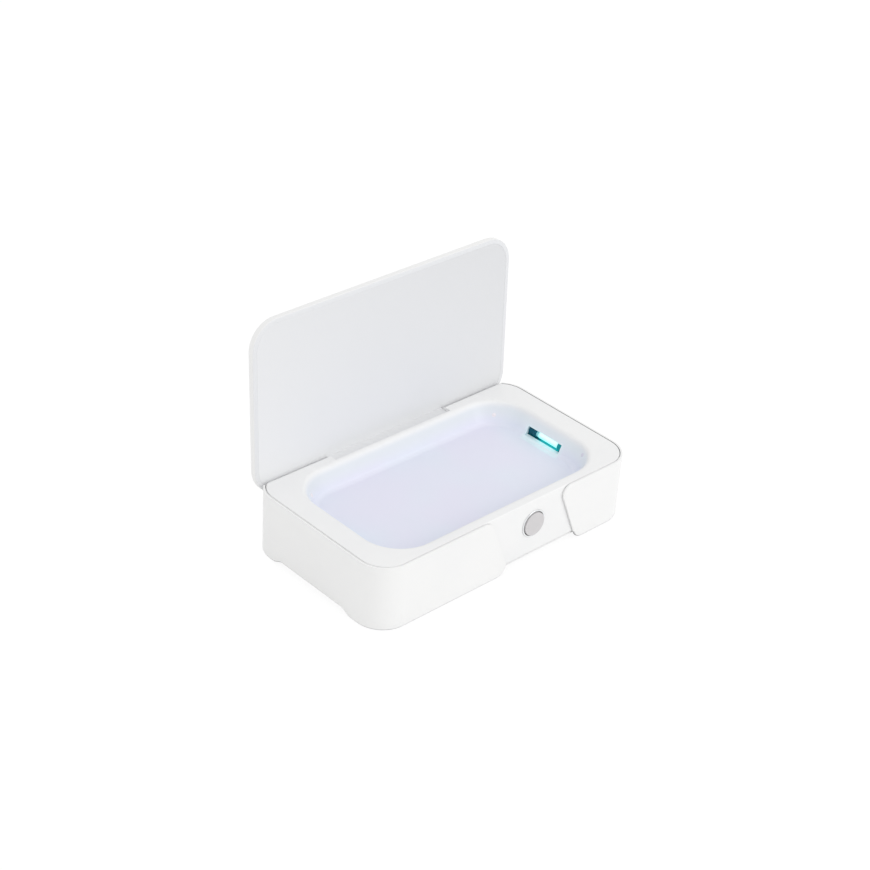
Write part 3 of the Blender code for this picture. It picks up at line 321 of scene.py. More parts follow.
def loop(bm, plan, height, keep_face):
    """A closed loop of edges on a plan, made by bevelling the corners of a square."""
    older_edges = set(bm.edges)
    older_faces = set(bm.faces)
    place = Matrix.Translation((0.0, (plan.front + plan.rear) / 2, height))
    size = Matrix.Diagonal((plan.half, (plan.rear - plan.front) / 2, 1.0, 1.0))
    square = bmesh.ops.create_grid(bm, x_segments=1, y_segments=1, size=1.0, matrix=place @ size)
    bmesh.ops.bevel(
        bm, geom=square["verts"], affect="VERTICES", offset=plan.radius, offset_type="OFFSET",
        segments=CORNER_SEGMENTS, profile=0.5, material=-1,
    )
    if not keep_face:
        made = [face for face in bm.faces if face not in older_faces]
        bmesh.ops.delete(bm, geom=made, context="FACES_ONLY")
    return [edge for edge in bm.edges if edge not in older_edges]


def skin(bm, rings):
    """Bridges a row of (plan, height) loops and caps its two ends.

    Two loops in one plane give the bridge no direction, and it may cross over. So the
    loops are first stacked like the storeys of a tower, and sink to their heights later.
    """
    storeys = []
    for index, (plan, height) in enumerate(rings):
        capped = index in (0, len(rings) - 1)
        edges = loop(bm, plan, index * STOREY, keep_face=capped)
        storeys.append((edges, height - index * STOREY))
    for (lower, _), (upper, _) in zip(storeys, storeys[1:]):
        bmesh.ops.bridge_loops(bm, edges=lower + upper)
    for edges, drop in storeys:
        verts = list({vert for edge in edges for vert in edge.verts})
        bmesh.ops.translate(bm, verts=verts, vec=(0.0, 0.0, drop))


def arc(centre, radius, start, end, steps):
    """Points of an arc, with its angles in degrees."""
    angles = [math.radians(start + (end - start) * i / steps) for i in range(steps + 1)]
    return [(centre[0] + radius * math.cos(a), centre[1] + radius * math.sin(a)) for a in angles]


def fillet(before, corner, after, radius, steps):
    """The points of the arc that rounds one corner of a path."""
    corner = Vector(corner)
    to_before = (Vector(before) - corner).normalized()
    to_after = (Vector(after) - corner).normalized()
    half = to_before.angle(to_after) / 2
    centre = corner + (to_before + to_after).normalized() * radius / math.sin(half)
    first = corner + to_before * radius / math.tan(half) - centre
    last = corner + to_after * radius / math.tan(half) - centre
    start = math.degrees(math.atan2(first.y, first.x))
    sweep = math.degrees(math.atan2(last.y, last.x)) - start
    sweep = (sweep + 180) % 360 - 180
    return arc(centre, radius, start, start + sweep, steps)


print("a loop has", 4 * (CORNER_SEGMENTS + 1), "edges")

# %% [markdown]
# ## From a mesh to a piece
# A finished piece sits at the origin, unturned and unscaled, with its place in its mesh,
# as the CAD nodes do. Holes are cut with Boolean modifiers, which are applied at once, and
# a narrow bevel softens the edges they leave. Weighted normals then keep the big flat
# faces flat while the rounded edges stay smooth.

# %% Piece helpers
SHARP_ANGLE = math.radians(32)


def mesh_object(name, bm, placing=Matrix.Identity(4), flip_check=True):
    """A bmesh made an object, after its doubles are merged and its faces turned outwards."""
    bmesh.ops.remove_doubles(bm, verts=bm.verts, dist=MERGE)
    bmesh.ops.transform(bm, matrix=placing, verts=bm.verts)
    if flip_check:
        bmesh.ops.recalc_face_normals(bm, faces=bm.faces)
    mesh = bpy.data.meshes.new(name)
    bm.to_mesh(mesh)
    bm.free()
    return linked(name, mesh)


def shell(name, rings, placing=Matrix.Identity(4)):
    bm = bmesh.new()
    skin(bm, rings)
    return mesh_object(name, bm, placing)


def apply_modifiers(piece):
    graph = bpy.context.evaluated_depsgraph_get()
    mesh = bpy.data.meshes.new_from_object(piece.evaluated_get(graph))
    mesh.name = piece.name
    piece.modifiers.clear()
    piece.data = mesh


def combine(piece, tools, operation):
    """Cuts the tools out of a piece, or joins them to it, and removes the tools."""
    for tool in tools:
        boolean = piece.modifiers.new(tool.name, "BOOLEAN")
        boolean.object = tool
        boolean.operation = operation
        boolean.solver = "EXACT"
    apply_modifiers(piece)
    for tool in tools:
        bpy.data.objects.remove(tool)


def soften(piece, width, segments=2, angle=50):
    bevel = piece.modifiers.new("soft_edges", "BEVEL")
    bevel.width = width
    bevel.segments = segments
    bevel.limit_method = "ANGLE"
    bevel.angle_limit = math.radians(angle)
    apply_modifiers(piece)


def dress(piece, body, slot, finish, *nodes):
    """Gives a piece its smooth shading, material and body, and hides the CAD nodes it stands for.
    The slot is not used.
    """
    piece.data.shade_smooth()
    piece.data.set_sharp_from_angle(angle=SHARP_ANGLE)
    normals = piece.modifiers.new("flat_faces_first", "WEIGHTED_NORMAL")
    normals.keep_sharp = True
    apply_modifiers(piece)
    piece.data.materials.clear()
    piece.data.materials.append(finish.material)
    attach(piece, body)
    if nodes:
        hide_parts(*nodes)
    print(piece.name, "has", len(piece.data.polygons), "faces")


def prism(name, outline, length, placing):
    """A flat outline pulled both ways along its own Z, as a tool for cutting or joining."""
    bm = bmesh.new()
    points = [bm.verts.new((across, along, -length / 2)) for across, along in outline]
    face = bm.faces.new(points)
    grown = bmesh.ops.extrude_face_region(bm, geom=[face])
    raised = [item for item in grown["geom"] if isinstance(item, bmesh.types.BMVert)]
    bmesh.ops.translate(bm, verts=raised, vec=(0.0, 0.0, length))
    return mesh_object(name, bm, placing)


def block(name, low, high):
    bm = bmesh.new()
    middle = Matrix.Translation((Vector(low) + Vector(high)) / 2)
    size = [abs(b - a) for a, b in zip(low, high)]
    bmesh.ops.create_cube(bm, size=1.0, matrix=middle @ Matrix.Diagonal((*size, 1.0)))
    return mesh_object(name, bm)


def rods(name, ends, radius, sides):
    """Round bars between pairs of points, all in one tool."""
    bm = bmesh.new()
    for start, end in ends:
        axis = Vector(end) - Vector(start)
        turn = Vector((0, 0, 1)).rotation_difference(axis).to_matrix().to_4x4()
        middle = Matrix.Translation((Vector(start) + Vector(end)) / 2)
        bmesh.ops.create_cone(
            bm, cap_ends=True, segments=sides, radius1=radius, radius2=radius,
            depth=axis.length, matrix=middle @ turn,
        )
    return mesh_object(name, bm)


def posts(name, places, low, high, radius, sides=48):
    """Upright round bars at a row of places."""
    return rods(name, [((x, y, low), (x, y, high)) for x, y in places], radius, sides)


def spun(name, profile, placing, sides):
    """A turned piece: (radius, height) points spun once round its own Z."""
    bm = bmesh.new()
    points = [bm.verts.new((radius, 0.0, height)) for radius, height in profile]
    edges = [bm.edges.new(pair) for pair in zip(points, points[1:])]
    if profile[0][0] > 0:
        edges.append(bm.edges.new((points[-1], points[0])))
    bmesh.ops.spin(
        bm, geom=points + edges, cent=(0, 0, 0), axis=(0, 0, 1), angle=math.tau,
        steps=sides, use_merge=True,
    )
    return mesh_object(name, bm, placing)


def at(x, y, z):
    """A place written from the middle of the box, in the frame of the CAD model."""
    return Matrix.Translation(SHIFT + Vector((x, y, z)))


ACROSS_X = Matrix(((0, 0, 1, 0), (1, 0, 0, 0), (0, 1, 0, 0), (0, 0, 0, 1)))
ACROSS_Y = Matrix(((1, 0, 0, 0), (0, 0, -1, 0), (0, 1, 0, 0), (0, 0, 0, 1)))
BASE = at(0.0, 0.0, 0.0)
print("piece helpers ready")

# %% [markdown]
# ## Sizes that the pieces share
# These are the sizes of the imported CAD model, in metres, so that each finer piece covers
# the plain solid that it stands for. All are written from the middle of the box.

# %% Shared sizes
GAP = 0.0003
OVERRUN = 0.0050
DECK_Z = 0.0454
BOX = Plan(0.1075, -0.0609, 0.0609, 0.0196)
SKIN_WALL = 0.0014
HOUSING = BOX.inset(SKIN_WALL + GAP)
HALF_DEPTH = HOUSING.rear
HOUSING_LOW = 0.0058
WALL = 0.0020
REAR_WALL = 0.0042
FOOT_ROUND = 0.0010
TRAY = Plan(0.0900, -0.0520, 0.0470, 0.0270)
TRAY_MIDDLE = (TRAY.front + TRAY.rear) / 2
TRAY_DEPTH = 0.0145
TRAY_RUN = 0.0070
TRAY_SLOPE = math.atan2(TRAY_RUN, TRAY_DEPTH)
HINGE_Y = 0.05275
HINGE_Z = 0.0406
HINGE_RADIUS = 0.0029
HINGE_HALF = 0.0485
PIN_BORE = 0.0015
LID_PLANE = 0.0053
LID_THICKNESS = 0.0050
LID_ANGLE = math.radians(92.3)
RECESS_RADIUS = LID_PLANE - GAP
RECESS_DROP = 0.0080
RECESS_LEAN = 90 - math.degrees(LID_ANGLE)
PORT_Z = 0.0130
BUTTON_X = 0.0193
BUTTON_Z = 0.0278
CORNERS = {
    "front_left": (-1, -1), "rear_left": (-1, 1), "front_right": (1, -1), "rear_right": (1, 1)
}
SCREW_X = 0.0940
SCREW_Y = 0.0475
SCREW_BORE = 0.0014
CASE_SCREWS = [(x * SCREW_X, y * SCREW_Y) for x, y in CORNERS.values()]
BOSS_LOW = 0.0095


def tray_back(depth, gap=0.0):
    """How far inside the tray's rim the back of its sloping wall lies at a depth."""
    return math.tan(TRAY_SLOPE) * depth - (WALL + gap) / math.cos(TRAY_SLOPE)


LAMP_Z = DECK_Z - TRAY_DEPTH + 0.0033
LAMP_X = TRAY.half - tray_back(DECK_Z - LAMP_Z) + 0.0017
LAMP_Y = TRAY_MIDDLE + 0.0005
WINDOW_HALF = 0.0150
print("lamp axis in mm:", in_mm((LAMP_X, LAMP_Y, LAMP_Z), 2))

# %% [markdown]
# ## The upper housing
# Deck, tray and walls are one moulding. In a CAD program it would be shelled; here one
# closed row of loops runs from the tray's floor over its rolled rim and the deck, down the
# wall to its rounded foot, and back up inside. The lid's recess, hinge trough, lamp
# windows, button hole and charging slot are cut out of it, as their steel cores would
# leave them in the mould.

# %% Upper housing shell
DECK_ROUND = 0.0008
FLOOR_ROUND = 0.0045
RIM_ROUND = 0.0035


def housing_rings():
    floor_edge = (TRAY_RUN, -TRAY_DEPTH)
    wide = 2 * TRAY_RUN
    path = fillet((wide, -TRAY_DEPTH), floor_edge, (0, 0), FLOOR_ROUND, 9)
    path += fillet(floor_edge, (0, 0), (-wide, 0), RIM_ROUND, 9)
    rings = TRAY.rings([(inward, DECK_Z + drop) for inward, drop in path])
    path = arc((DECK_ROUND, DECK_Z - DECK_ROUND), DECK_ROUND, 90, 180, 5)
    path += arc((FOOT_ROUND, HOUSING_LOW + FOOT_ROUND), FOOT_ROUND, 180, 270, 5)
    rings += HOUSING.rings(path)
    inside = HOUSING.inset(WALL, REAR_WALL - WALL)
    rings += [(inside, HOUSING_LOW), (inside, DECK_Z - WALL)]
    return rings + TRAY.rings([(tray_back(z), DECK_Z - z) for z in (WALL, TRAY_DEPTH + WALL)])


housing = shell("upper_housing_moulding", housing_rings())
print("housing shell faces:", len(housing.data.polygons))

# %% Upper housing additions
LUG = 0.0052
TROUGH_END = HINGE_HALF + GAP + LUG
TROUGH_BACK = HINGE_RADIUS + GAP + WALL
BOSS_RADIUS = 0.0034
deck_middle = DECK_Z - WALL / 2
trough = block(
    "trough_wall",
    (-TROUGH_END, HINGE_Y - TROUGH_BACK, HINGE_Z - TROUGH_BACK),
    (TROUGH_END, HALF_DEPTH - REAR_WALL / 2, deck_middle),
)
bosses = posts("case_bosses", CASE_SCREWS, BOSS_LOW, deck_middle, BOSS_RADIUS)
combine(housing, [trough, bosses], "UNION")
print("housing with its trough wall and bosses:", len(housing.data.polygons))

# %% Upper housing cuts
def behind(path):
    """A path in the side view, round the hinge, closed upwards and to the rear."""
    top = LID_PLANE + OVERRUN
    rear = top + LID_THICKNESS
    outline = [(path[0][0], top), *path, (rear, path[-1][1]), (rear, top)]
    return [(HINGE_Y + y, HINGE_Z + z) for y, z in outline]


def recess_path():
    """The lid swings through this space behind the hinge and then leans on its wall."""
    lean = math.radians(RECESS_LEAN)
    swing = arc((0, 0), RECESS_RADIUS, 90, RECESS_LEAN, 24)
    wall = (RECESS_DROP + swing[-1][1]) / math.cos(lean)
    return [*swing, (swing[-1][0] + wall * math.sin(lean), -RECESS_DROP)]


def flat_oval(name, half_width, half_height, steps, length, y):
    """A bar with fully round sides, which lies along Y at the charging port."""
    middle = half_width - half_height
    outline = arc((middle, 0), half_height, -90, 90, steps)
    outline += arc((-middle, 0), half_height, 90, 270, steps)
    return prism(name, outline, length, Matrix.Translation((0.0, y, PORT_Z)) @ ACROSS_Y)


BUTTON_HOLE = 0.0092
PIN_WAY = LUG - 0.0004
WINDOW_DEPTH = 0.0080
WINDOW_BELOW = 0.0026
WINDOW_ABOVE = 0.0032
PAST_BOTH_ENDS = 0.2300
button_way = [((BUTTON_X, -0.0700, BUTTON_Z), (BUTTON_X, -0.0569, BUTTON_Z))]
trough_path = arc((0, 0), HINGE_RADIUS + GAP, 180, 270, 16)
tools = [
    prism("recess", behind(recess_path()), PAST_BOTH_ENDS, ACROSS_X),
    prism("hinge_trough", behind(trough_path), 2 * (HINGE_HALF + GAP), ACROSS_X),
    rods("button_hole", button_way, BUTTON_HOLE, 96),
    flat_oval("charging_slot", 0.00475, 0.0019, 10, 0.0100, HALF_DEPTH - REAR_WALL / 2),
]
for side in (-1, 1):
    near = TRAY.half - TRAY_RUN - GAP
    low = (side * near, LAMP_Y - WINDOW_HALF, LAMP_Z - WINDOW_BELOW)
    high = (side * (near + WINDOW_DEPTH), LAMP_Y + WINDOW_HALF, LAMP_Z + WINDOW_ABOVE)
    tools.append(block("lamp_window", low, high))
    start = (side * (HINGE_HALF - OVERRUN), HINGE_Y, HINGE_Z)
    end = (side * (HINGE_HALF + PIN_WAY), HINGE_Y, HINGE_Z)
    tools.append(rods("lug_bore", [(start, end)], PIN_BORE, 32))
combine(housing, tools, "DIFFERENCE")
combine(housing, [posts("case_bores", CASE_SCREWS, 0.0040, 0.0206, SCREW_BORE, 32)], "DIFFERENCE")
housing.data.transform(BASE)
soften(housing, 0.00022)
print("housing with its openings:", len(housing.data.polygons))

# %% [markdown]
# ## The tray's finish
# The housing is the same white plastic, but the lamps colour the tray: its walls turn cool
# from the rim down, a lavender lies deeper, and a pale cyan rims each lamp window. The
# lamps alone would have to be very bright to do that in daylight, so these tints are part
# of the material: they follow the depth below the deck and the distance to a window.

# %% Tray finish
COOL_WALL = (0.770, 0.803, 0.842)
COOL_NEAR_LAMP = (0.815, 0.885, 0.915)
LAVENDER = (0.795, 0.782, 0.885)
SKY = (0.770, 0.810, 0.885)
CYAN_RIM = (0.780, 0.930, 0.950)
DEEP_GLOW = (0.008, 0.006, 0.034)
RIM_GLOW = (0.01, 0.05, 0.055)


def tray_material():
    made = moulded("tray_moulding", (0.885, 0.886, 0.885), (0.865, 0.868, 0.872), 0.34)
    across, along, height = made.parts(made.place(SHIFT))
    across = across.maths("ABSOLUTE")
    inside = 1 - across.step(0.0860, 0.0915)
    inside = inside * (1 - along.maths("ABSOLUTE").step(0.0485, 0.0530))
    wall = inside * (1 - height.step(DECK_Z - 0.0045, DECK_Z - 0.0002))
    deep = inside * (1 - height.step(DECK_Z - 0.0140, DECK_Z - 0.0040))
    beside = along.near(LAMP_Y, WINDOW_HALF - 0.0010, WINDOW_HALF + 0.0030)
    rim = beside * height.near(LAMP_Z, 0.0020, 0.0054) * across.step(0.0780, 0.0800)
    around = along.near(LAMP_Y, WINDOW_HALF, 0.0460) * across.step(0.0600, 0.0800)
    patch = made.noise(made.place(), 22.0, 1.0).step(0.30, 0.75)
    cool = made.mix(wall, made.colour(), COOL_WALL)
    cool = made.mix(around * wall * 0.7, cool, COOL_NEAR_LAMP)
    tinted = made.mix(deep * 0.75, cool, made.mix(patch, LAVENDER, SKY))
    made.drive(
        Base_Color=made.mix(rim * 0.6, tinted, CYAN_RIM),
        Emission_Color=made.mix(rim, made.mix(deep, BLACK, DEEP_GLOW), RIM_GLOW),
        Emission_Strength=1.0,
    )
    return made


dress(housing, "base", "tray_plastic", tray_material(), "upper_housing")

# %% [markdown]
# ## Small studs in the tray's corners
# Two faint round marks show on the sloping wall beside the lamp: a grey violet one in the
# front corner and a pale one in the rear corner. They could be painted on, but a stud
# a third of a millimetre proud keeps them true from every side. Their use is a guess, and
# so is the mirrored pair at the left end.

# %% Tray studs
STUD_RADIUS = 0.0014
front_stud = moulded("stud_violet_grey", (0.73, 0.715, 0.81), (0.70, 0.685, 0.785), 0.30, 0.00001)
rear_stud = moulded("stud_pale", (0.90, 0.855, 0.885), (0.88, 0.83, 0.865), 0.24, 0.00001)
STUDS = [
    ("front", front_stud, (0.0843, -0.0362, 0.0405)),
    ("rear", rear_stud, (0.0778, 0.0375, 0.0370)),
]


def stud(name, side, x, y, height):
    """A low dome on the wall of a tray corner, square to the wall."""
    centre_y = TRAY.front + TRAY.radius if y < 0 else TRAY.rear - TRAY.radius
    centre = Vector((TRAY.half - TRAY.radius, centre_y, height))
    outward = Vector((x - centre.x, y - centre.y, 0.0)).normalized()
    on_wall = centre + outward * (TRAY.radius - math.tan(TRAY_SLOPE) * (DECK_Z - height))
    normal = Vector((0, 0, 1)) * math.sin(TRAY_SLOPE) - outward * math.cos(TRAY_SLOPE)
    on_wall.x *= side
    normal.x *= side
    turn = Vector((0, 0, 1)).rotation_difference(normal).to_matrix().to_4x4()
    profile = [(0.0, 0.00030), (0.00055, 0.00025), (0.00095, 0.00010), (0.00105, 0.00004)]
    profile += [(0.00115, 0.00014), (STUD_RADIUS - 0.0001, 0.00014), (STUD_RADIUS, 0.00004)]
    profile += [(STUD_RADIUS, -0.0005), (0.0, -0.0005)]
    return spun(name, profile, at(*on_wall) @ turn, 32)


for end, finish, place in STUDS:
    for side_name, side in (("left", -1), ("right", 1)):
        made = stud(f"tray_stud_{end}_{side_name}", side, *place)
        dress(made, "base", "tray_plastic", finish)

# %% [markdown]
# ## The wrap covers
# Each skin runs round one end of the box and stops at a slant, with soft corners. A band
# could be cut with blades after it is bent, but sheet metal workers draw such a piece flat
# and bend it afterwards, and so does this: one face with rounded corners is sliced where
# it will bend, wrapped round the box and given its thickness. Its outer lower edge is
# rounded more than the others, because it carries the contour line above the floor.

# %% Wrap covers drawn flat
COVER_TOP_Z = DECK_Z - 0.0002
COVER_LOW_Z = 0.0003
COVER_OBTUSE = 0.0076
COVER_ACUTE = 0.0062
REAR_TOP_X = 0.0680
REAR_LOW_X = 0.0546
ARCH_Z = 0.0034
ARCH_RUN = 0.0070
ARCH_FORWARD = 0.0340
ARCH_BACKWARD = 0.0370
corner = BOX.radius
BEND = corner * math.pi / 2
FRONT_END = BOX.half - corner
SIDE_HALF = BOX.rear - corner
SIDE_MIDDLE = FRONT_END + BEND + SIDE_HALF
SIDE_END = SIDE_MIDDLE + SIDE_HALF
REAR_START = SIDE_END + BEND


def along_rear_bend(y):
    """How far along the flat strip a depth y lies, on the rear bend."""
    return SIDE_END + corner * math.asin((y - SIDE_HALF) / corner)


def cover_outline(front_top, front_low, top_radius, low_radius):
    """The strip seen flat, from the middle of the front, round one end, to the rear."""
    swing = arc((0, 0), RECESS_RADIUS, 70, RECESS_LEAN, 14)
    swing = [(HINGE_Y + y, HINGE_Z + z) for y, z in swing]
    start_y = HINGE_Y + math.sqrt(RECESS_RADIUS**2 - (COVER_TOP_Z - HINGE_Z) ** 2)
    rear_z = HINGE_Z - RECESS_DROP
    foot_y = HINGE_Y + RECESS_RADIUS - 0.0003
    swing = [(y, z) for y, z in swing if z < COVER_TOP_Z - 0.0001]
    swing = [(start_y, COVER_TOP_Z), *swing, (foot_y, rear_z)]
    swing = [(along_rear_bend(y), z) for y, z in swing]
    arch_front = SIDE_MIDDLE - ARCH_FORWARD
    arch_rear = SIDE_MIDDLE + ARCH_BACKWARD
    corners = [
        ((front_top, COVER_TOP_Z), top_radius, 10),
        *[(point, 0, 0) for point in swing],
        ((REAR_START + FRONT_END - REAR_TOP_X, rear_z), COVER_OBTUSE, 10),
        ((REAR_START + FRONT_END - REAR_LOW_X, COVER_LOW_Z), COVER_ACUTE, 10),
        ((arch_rear, COVER_LOW_Z), 0.0020, 5),
        ((arch_rear - ARCH_RUN, ARCH_Z), 0.0040, 6),
        ((arch_front + ARCH_RUN, ARCH_Z), 0.0040, 6),
        ((arch_front, COVER_LOW_Z), 0.0020, 5),
        ((front_low, COVER_LOW_Z), low_radius, 10),
    ]
    outline = []
    for i, (point, radius, steps) in enumerate(corners):
        before = corners[i - 1][0]
        after = corners[(i + 1) % len(corners)][0]
        outline += fillet(before, point, after, radius, steps) if radius else [point]
    return outline


def wrapped(strip, height):
    """Where a point of the flat strip comes to lie on the box, whose front mirrors its rear."""
    along = strip - SIDE_MIDDLE
    beyond = max(abs(along) - SIDE_HALF, 0)
    turn = min(beyond / corner, math.pi / 2)
    x = FRONT_END + corner * math.cos(turn) - max(beyond - BEND, 0)
    y = min(abs(along), SIDE_HALF) + corner * math.sin(turn)
    return Vector((x, math.copysign(y, along), height))


print("flat strip to the middle of the rear in mm:", in_mm([REAR_START + FRONT_END]))

# %% Wrap covers bent round the box
def depth_in_box(point):
    """How far a point lies inside the outline of the box, seen from above."""
    beyond_x = abs(point.x) - FRONT_END
    beyond_y = abs(point.y) - SIDE_HALF
    return corner - math.hypot(max(beyond_x, 0), max(beyond_y, 0)) - min(max(beyond_x, beyond_y), 0)


def round_foot(cover):
    """Rounds the outer lower edges, which stand just above the floor, more than the rest."""
    bm = bmesh.new()
    bm.from_mesh(cover.data)
    edges = []
    for edge in bm.edges:
        ends = [vert.co for vert in edge.verts]
        low = max(end.z for end in ends) < HOUSING_LOW
        outer = max(depth_in_box(end) for end in ends) < SKIN_WALL / 4
        if low and outer and edge.calc_face_angle(0) > math.radians(50):
            edges.append(edge)
    bmesh.ops.bevel(
        bm, geom=edges, affect="EDGES", offset=FOOT_ROUND, offset_type="OFFSET",
        segments=5, profile=0.5, material=-1, clamp_overlap=False,
    )
    bm.to_mesh(cover.data)
    bm.free()
    print(cover.name, "rounded lower edges:", len(edges))


def wrap_cover(name, side, front_top, front_low, top_radius, low_radius):
    bm = bmesh.new()
    outline = cover_outline(front_top, front_low, top_radius, low_radius)
    bm.faces.new([bm.verts.new((strip, 0.0, height)) for strip, height in outline])
    for start in (FRONT_END, SIDE_END):
        for i in range(CORNER_SEGMENTS + 1):
            cut_at = start + BEND * i / CORNER_SEGMENTS
            everything = bm.verts[:] + bm.edges[:] + bm.faces[:]
            bmesh.ops.bisect_plane(bm, geom=everything, plane_co=(cut_at, 0, 0), plane_no=(1, 0, 0))
    for vert in bm.verts:
        vert.co = wrapped(vert.co.x, vert.co.z)
    bmesh.ops.scale(bm, vec=(side, 1.0, 1.0), verts=bm.verts)
    bmesh.ops.remove_doubles(bm, verts=bm.verts, dist=MERGE)
    bmesh.ops.recalc_face_normals(bm, faces=bm.faces)
    middle = max(bm.faces, key=lambda face: face.calc_area())
    if middle.normal.dot(middle.calc_center_median()) < 0:
        bmesh.ops.reverse_faces(bm, faces=bm.faces)
    cover = mesh_object(name, bm, flip_check=False)
    wall = cover.modifiers.new("wall", "SOLIDIFY")
    wall.thickness = SKIN_WALL
    wall.offset = -1.0
    wall.use_even_offset = True
    apply_modifiers(cover)
    round_foot(cover)
    soften(cover, 0.0004, 3)
    cover.data.transform(BASE)
    return cover


left_cover = wrap_cover("left_wrap_skin", -1, 0.0193, 0.0008, COVER_OBTUSE, COVER_ACUTE)
right_cover = wrap_cover("right_wrap_skin", 1, 0.0400, 0.0589, COVER_ACUTE, COVER_OBTUSE)

# %% [markdown]
# ## The skins' finish
# In the photograph a thin grey line follows each skin's foot and its seam with the deck.
# Part of it is shadow in a gap of a third of a millimetre, which a soft light fills too
# well. So the white plastic is shaded where its foot turns under, found by the direction
# of the surface, and on the side of the skin that faces the housing.

# %% Skins' finish
FOOT_SHADE = (0.33, 0.33, 0.34)
SEAM_SHADE = (0.20, 0.20, 0.21)


def wrap_material():
    made = white_plastic("wrap_moulding")
    across, along, height = made.parts(made.place(SHIFT + Vector((0.0, 0.0, COVER_TOP_Z))))
    right, rear, facing = made.parts(made.node("ShaderNodeTexCoord").outputs["Normal"])
    foot = 1 - height.step(0.0058 - COVER_TOP_Z, 0.0068 - COVER_TOP_Z)
    foot = foot * facing.step(-0.97, -0.80) * (1 - facing.step(-0.50, -0.03))
    at_end = across.maths("ABSOLUTE").step(0.0650, 0.0850)
    inward = 1 - (along * rear + across * right * at_end).step(-0.040, -0.004)
    seam = inward * height.step(-0.0020, -0.0010)
    shaded = made.mix(foot, made.colour(), FOOT_SHADE)
    made.drive(Base_Color=made.mix(seam * 0.8, shaded, SEAM_SHADE))
    return made


wrap_finish = wrap_material()
dress(left_cover, "base", "white_plastic", wrap_finish, "left_wrap_cover")
dress(right_cover, "base", "white_plastic", wrap_finish, "right_wrap_cover")

# %% [markdown]
# ## The lid
# The lid is a shallow white dish with a thin rolled edge, closed by a pale grey panel that
# carries the hinge barrel. Both are made lying closed, round the hinge axis, and are then
# turned open together: that keeps them exactly where the hinge would carry them. The
# panel is a little paler at its lower left, where the photograph shows light from below.

# %% Lid finishes
PANEL_GREY = (0.775, 0.782, 0.796)
PANEL_PAINTED_SHADE = (0.668, 0.672, 0.684)
PANEL_PAINTED_LIGHT = (0.845, 0.851, 0.861)
LID_PLACE = at(0.0, HINGE_Y, HINGE_Z) @ Matrix.Rotation(-LID_ANGLE, 4, "X")


def lid_shell_material():
    """White outside; the flat rim that meets the box is the panel's grey."""
    made = white_plastic("lid_shell_moulding")
    height = made.parts(made.place(LID_PLACE.translation, (-LID_ANGLE, 0.0, 0.0)))[2]
    rim = 1 - height.step(LID_PLANE + 0.00010, LID_PLANE + 0.00045)
    made.drive(Base_Color=made.mix(rim, made.colour(), PANEL_GREY))
    return made


def lid_panel_material():
    made = moulded("lid_panel_moulding", PANEL_GREY, (0.764, 0.771, 0.784), 0.46)
    across, _, height = made.parts(made.place((0.0, 0.0, 0.10)))
    # Painted light and shade: the colour runs from darker at the upper right to paler at the lower
    # left, for the light the tray throws up.
    pale = across * -2.6 + height * -4.3 + 0.46
    upper = made.mix(0.6, made.colour(), PANEL_PAINTED_SHADE)
    made.drive(Base_Color=made.mix(pale, upper, PANEL_PAINTED_LIGHT))
    return made


print("lid place in mm:", in_mm(LID_PLACE.translation))

# %% Lid
LID = Plan(0.1055, -0.11240, 0.0069, 0.0190)
LID_RIM = 0.0030
LID_ROOF = 0.0014
LID_ROUND = 0.0016
RIM_EDGE = 0.0007
PANEL = 0.0016
PANEL_EDGE = 0.00012
PANEL_IN = LID_RIM + 0.00004
lid_top = LID_PLANE + LID_THICKNESS
path = arc((LID_ROUND, lid_top - LID_ROUND), LID_ROUND, 90, 180, 7)
path += arc((RIM_EDGE, LID_PLANE + RIM_EDGE), RIM_EDGE, 180, 270, 4)
path += [(LID_RIM, LID_PLANE), (LID_RIM, lid_top - LID_ROOF)]
lid_shell = shell("lid_shell", LID.rings(path), LID_PLACE)
dress(lid_shell, "lid", "white_plastic", lid_shell_material(), "lid_outer_shell")

path = [(PANEL_IN, LID_PLANE + PANEL)]
path += arc((PANEL_IN + PANEL_EDGE, LID_PLANE + PANEL_EDGE), PANEL_EDGE, 180, 270, 4)
lid_panel = shell("lid_panel", LID.rings(path))
web_top = LID_PLANE + PANEL / 2
web = [(-HINGE_RADIUS, web_top), *arc((0, 0), HINGE_RADIUS, 180, 360, 28), (HINGE_RADIUS, web_top)]
combine(lid_panel, [prism("barrel", web, 2 * (HINGE_HALF + 0.0002), ACROSS_X)], "UNION")
bore_end = HINGE_HALF - 0.0046 - GAP
ends = [((side * bore_end, 0, 0), (side * (HINGE_HALF + OVERRUN), 0, 0)) for side in (-1, 1)]
combine(lid_panel, [rods("barrel_bores", ends, PIN_BORE, 32)], "DIFFERENCE")
lid_panel.data.transform(LID_PLACE)
soften(lid_panel, 0.00018)
dress(lid_panel, "lid", "lid_plastic", lid_panel_material(), "lid_inner_panel")

# %% [markdown]
# ## The button
# A chromed ring is pressed into the front wall and a pale grey cap moves inside it. Both
# are turned pieces, so each is a profile spun round its axis. The ring is a thin rolled
# bead, whose two small radii catch the light, and the cap stands a little proud of it. The
# cap's stem ends where the switch's plunger begins, so that nothing collides when pressed.

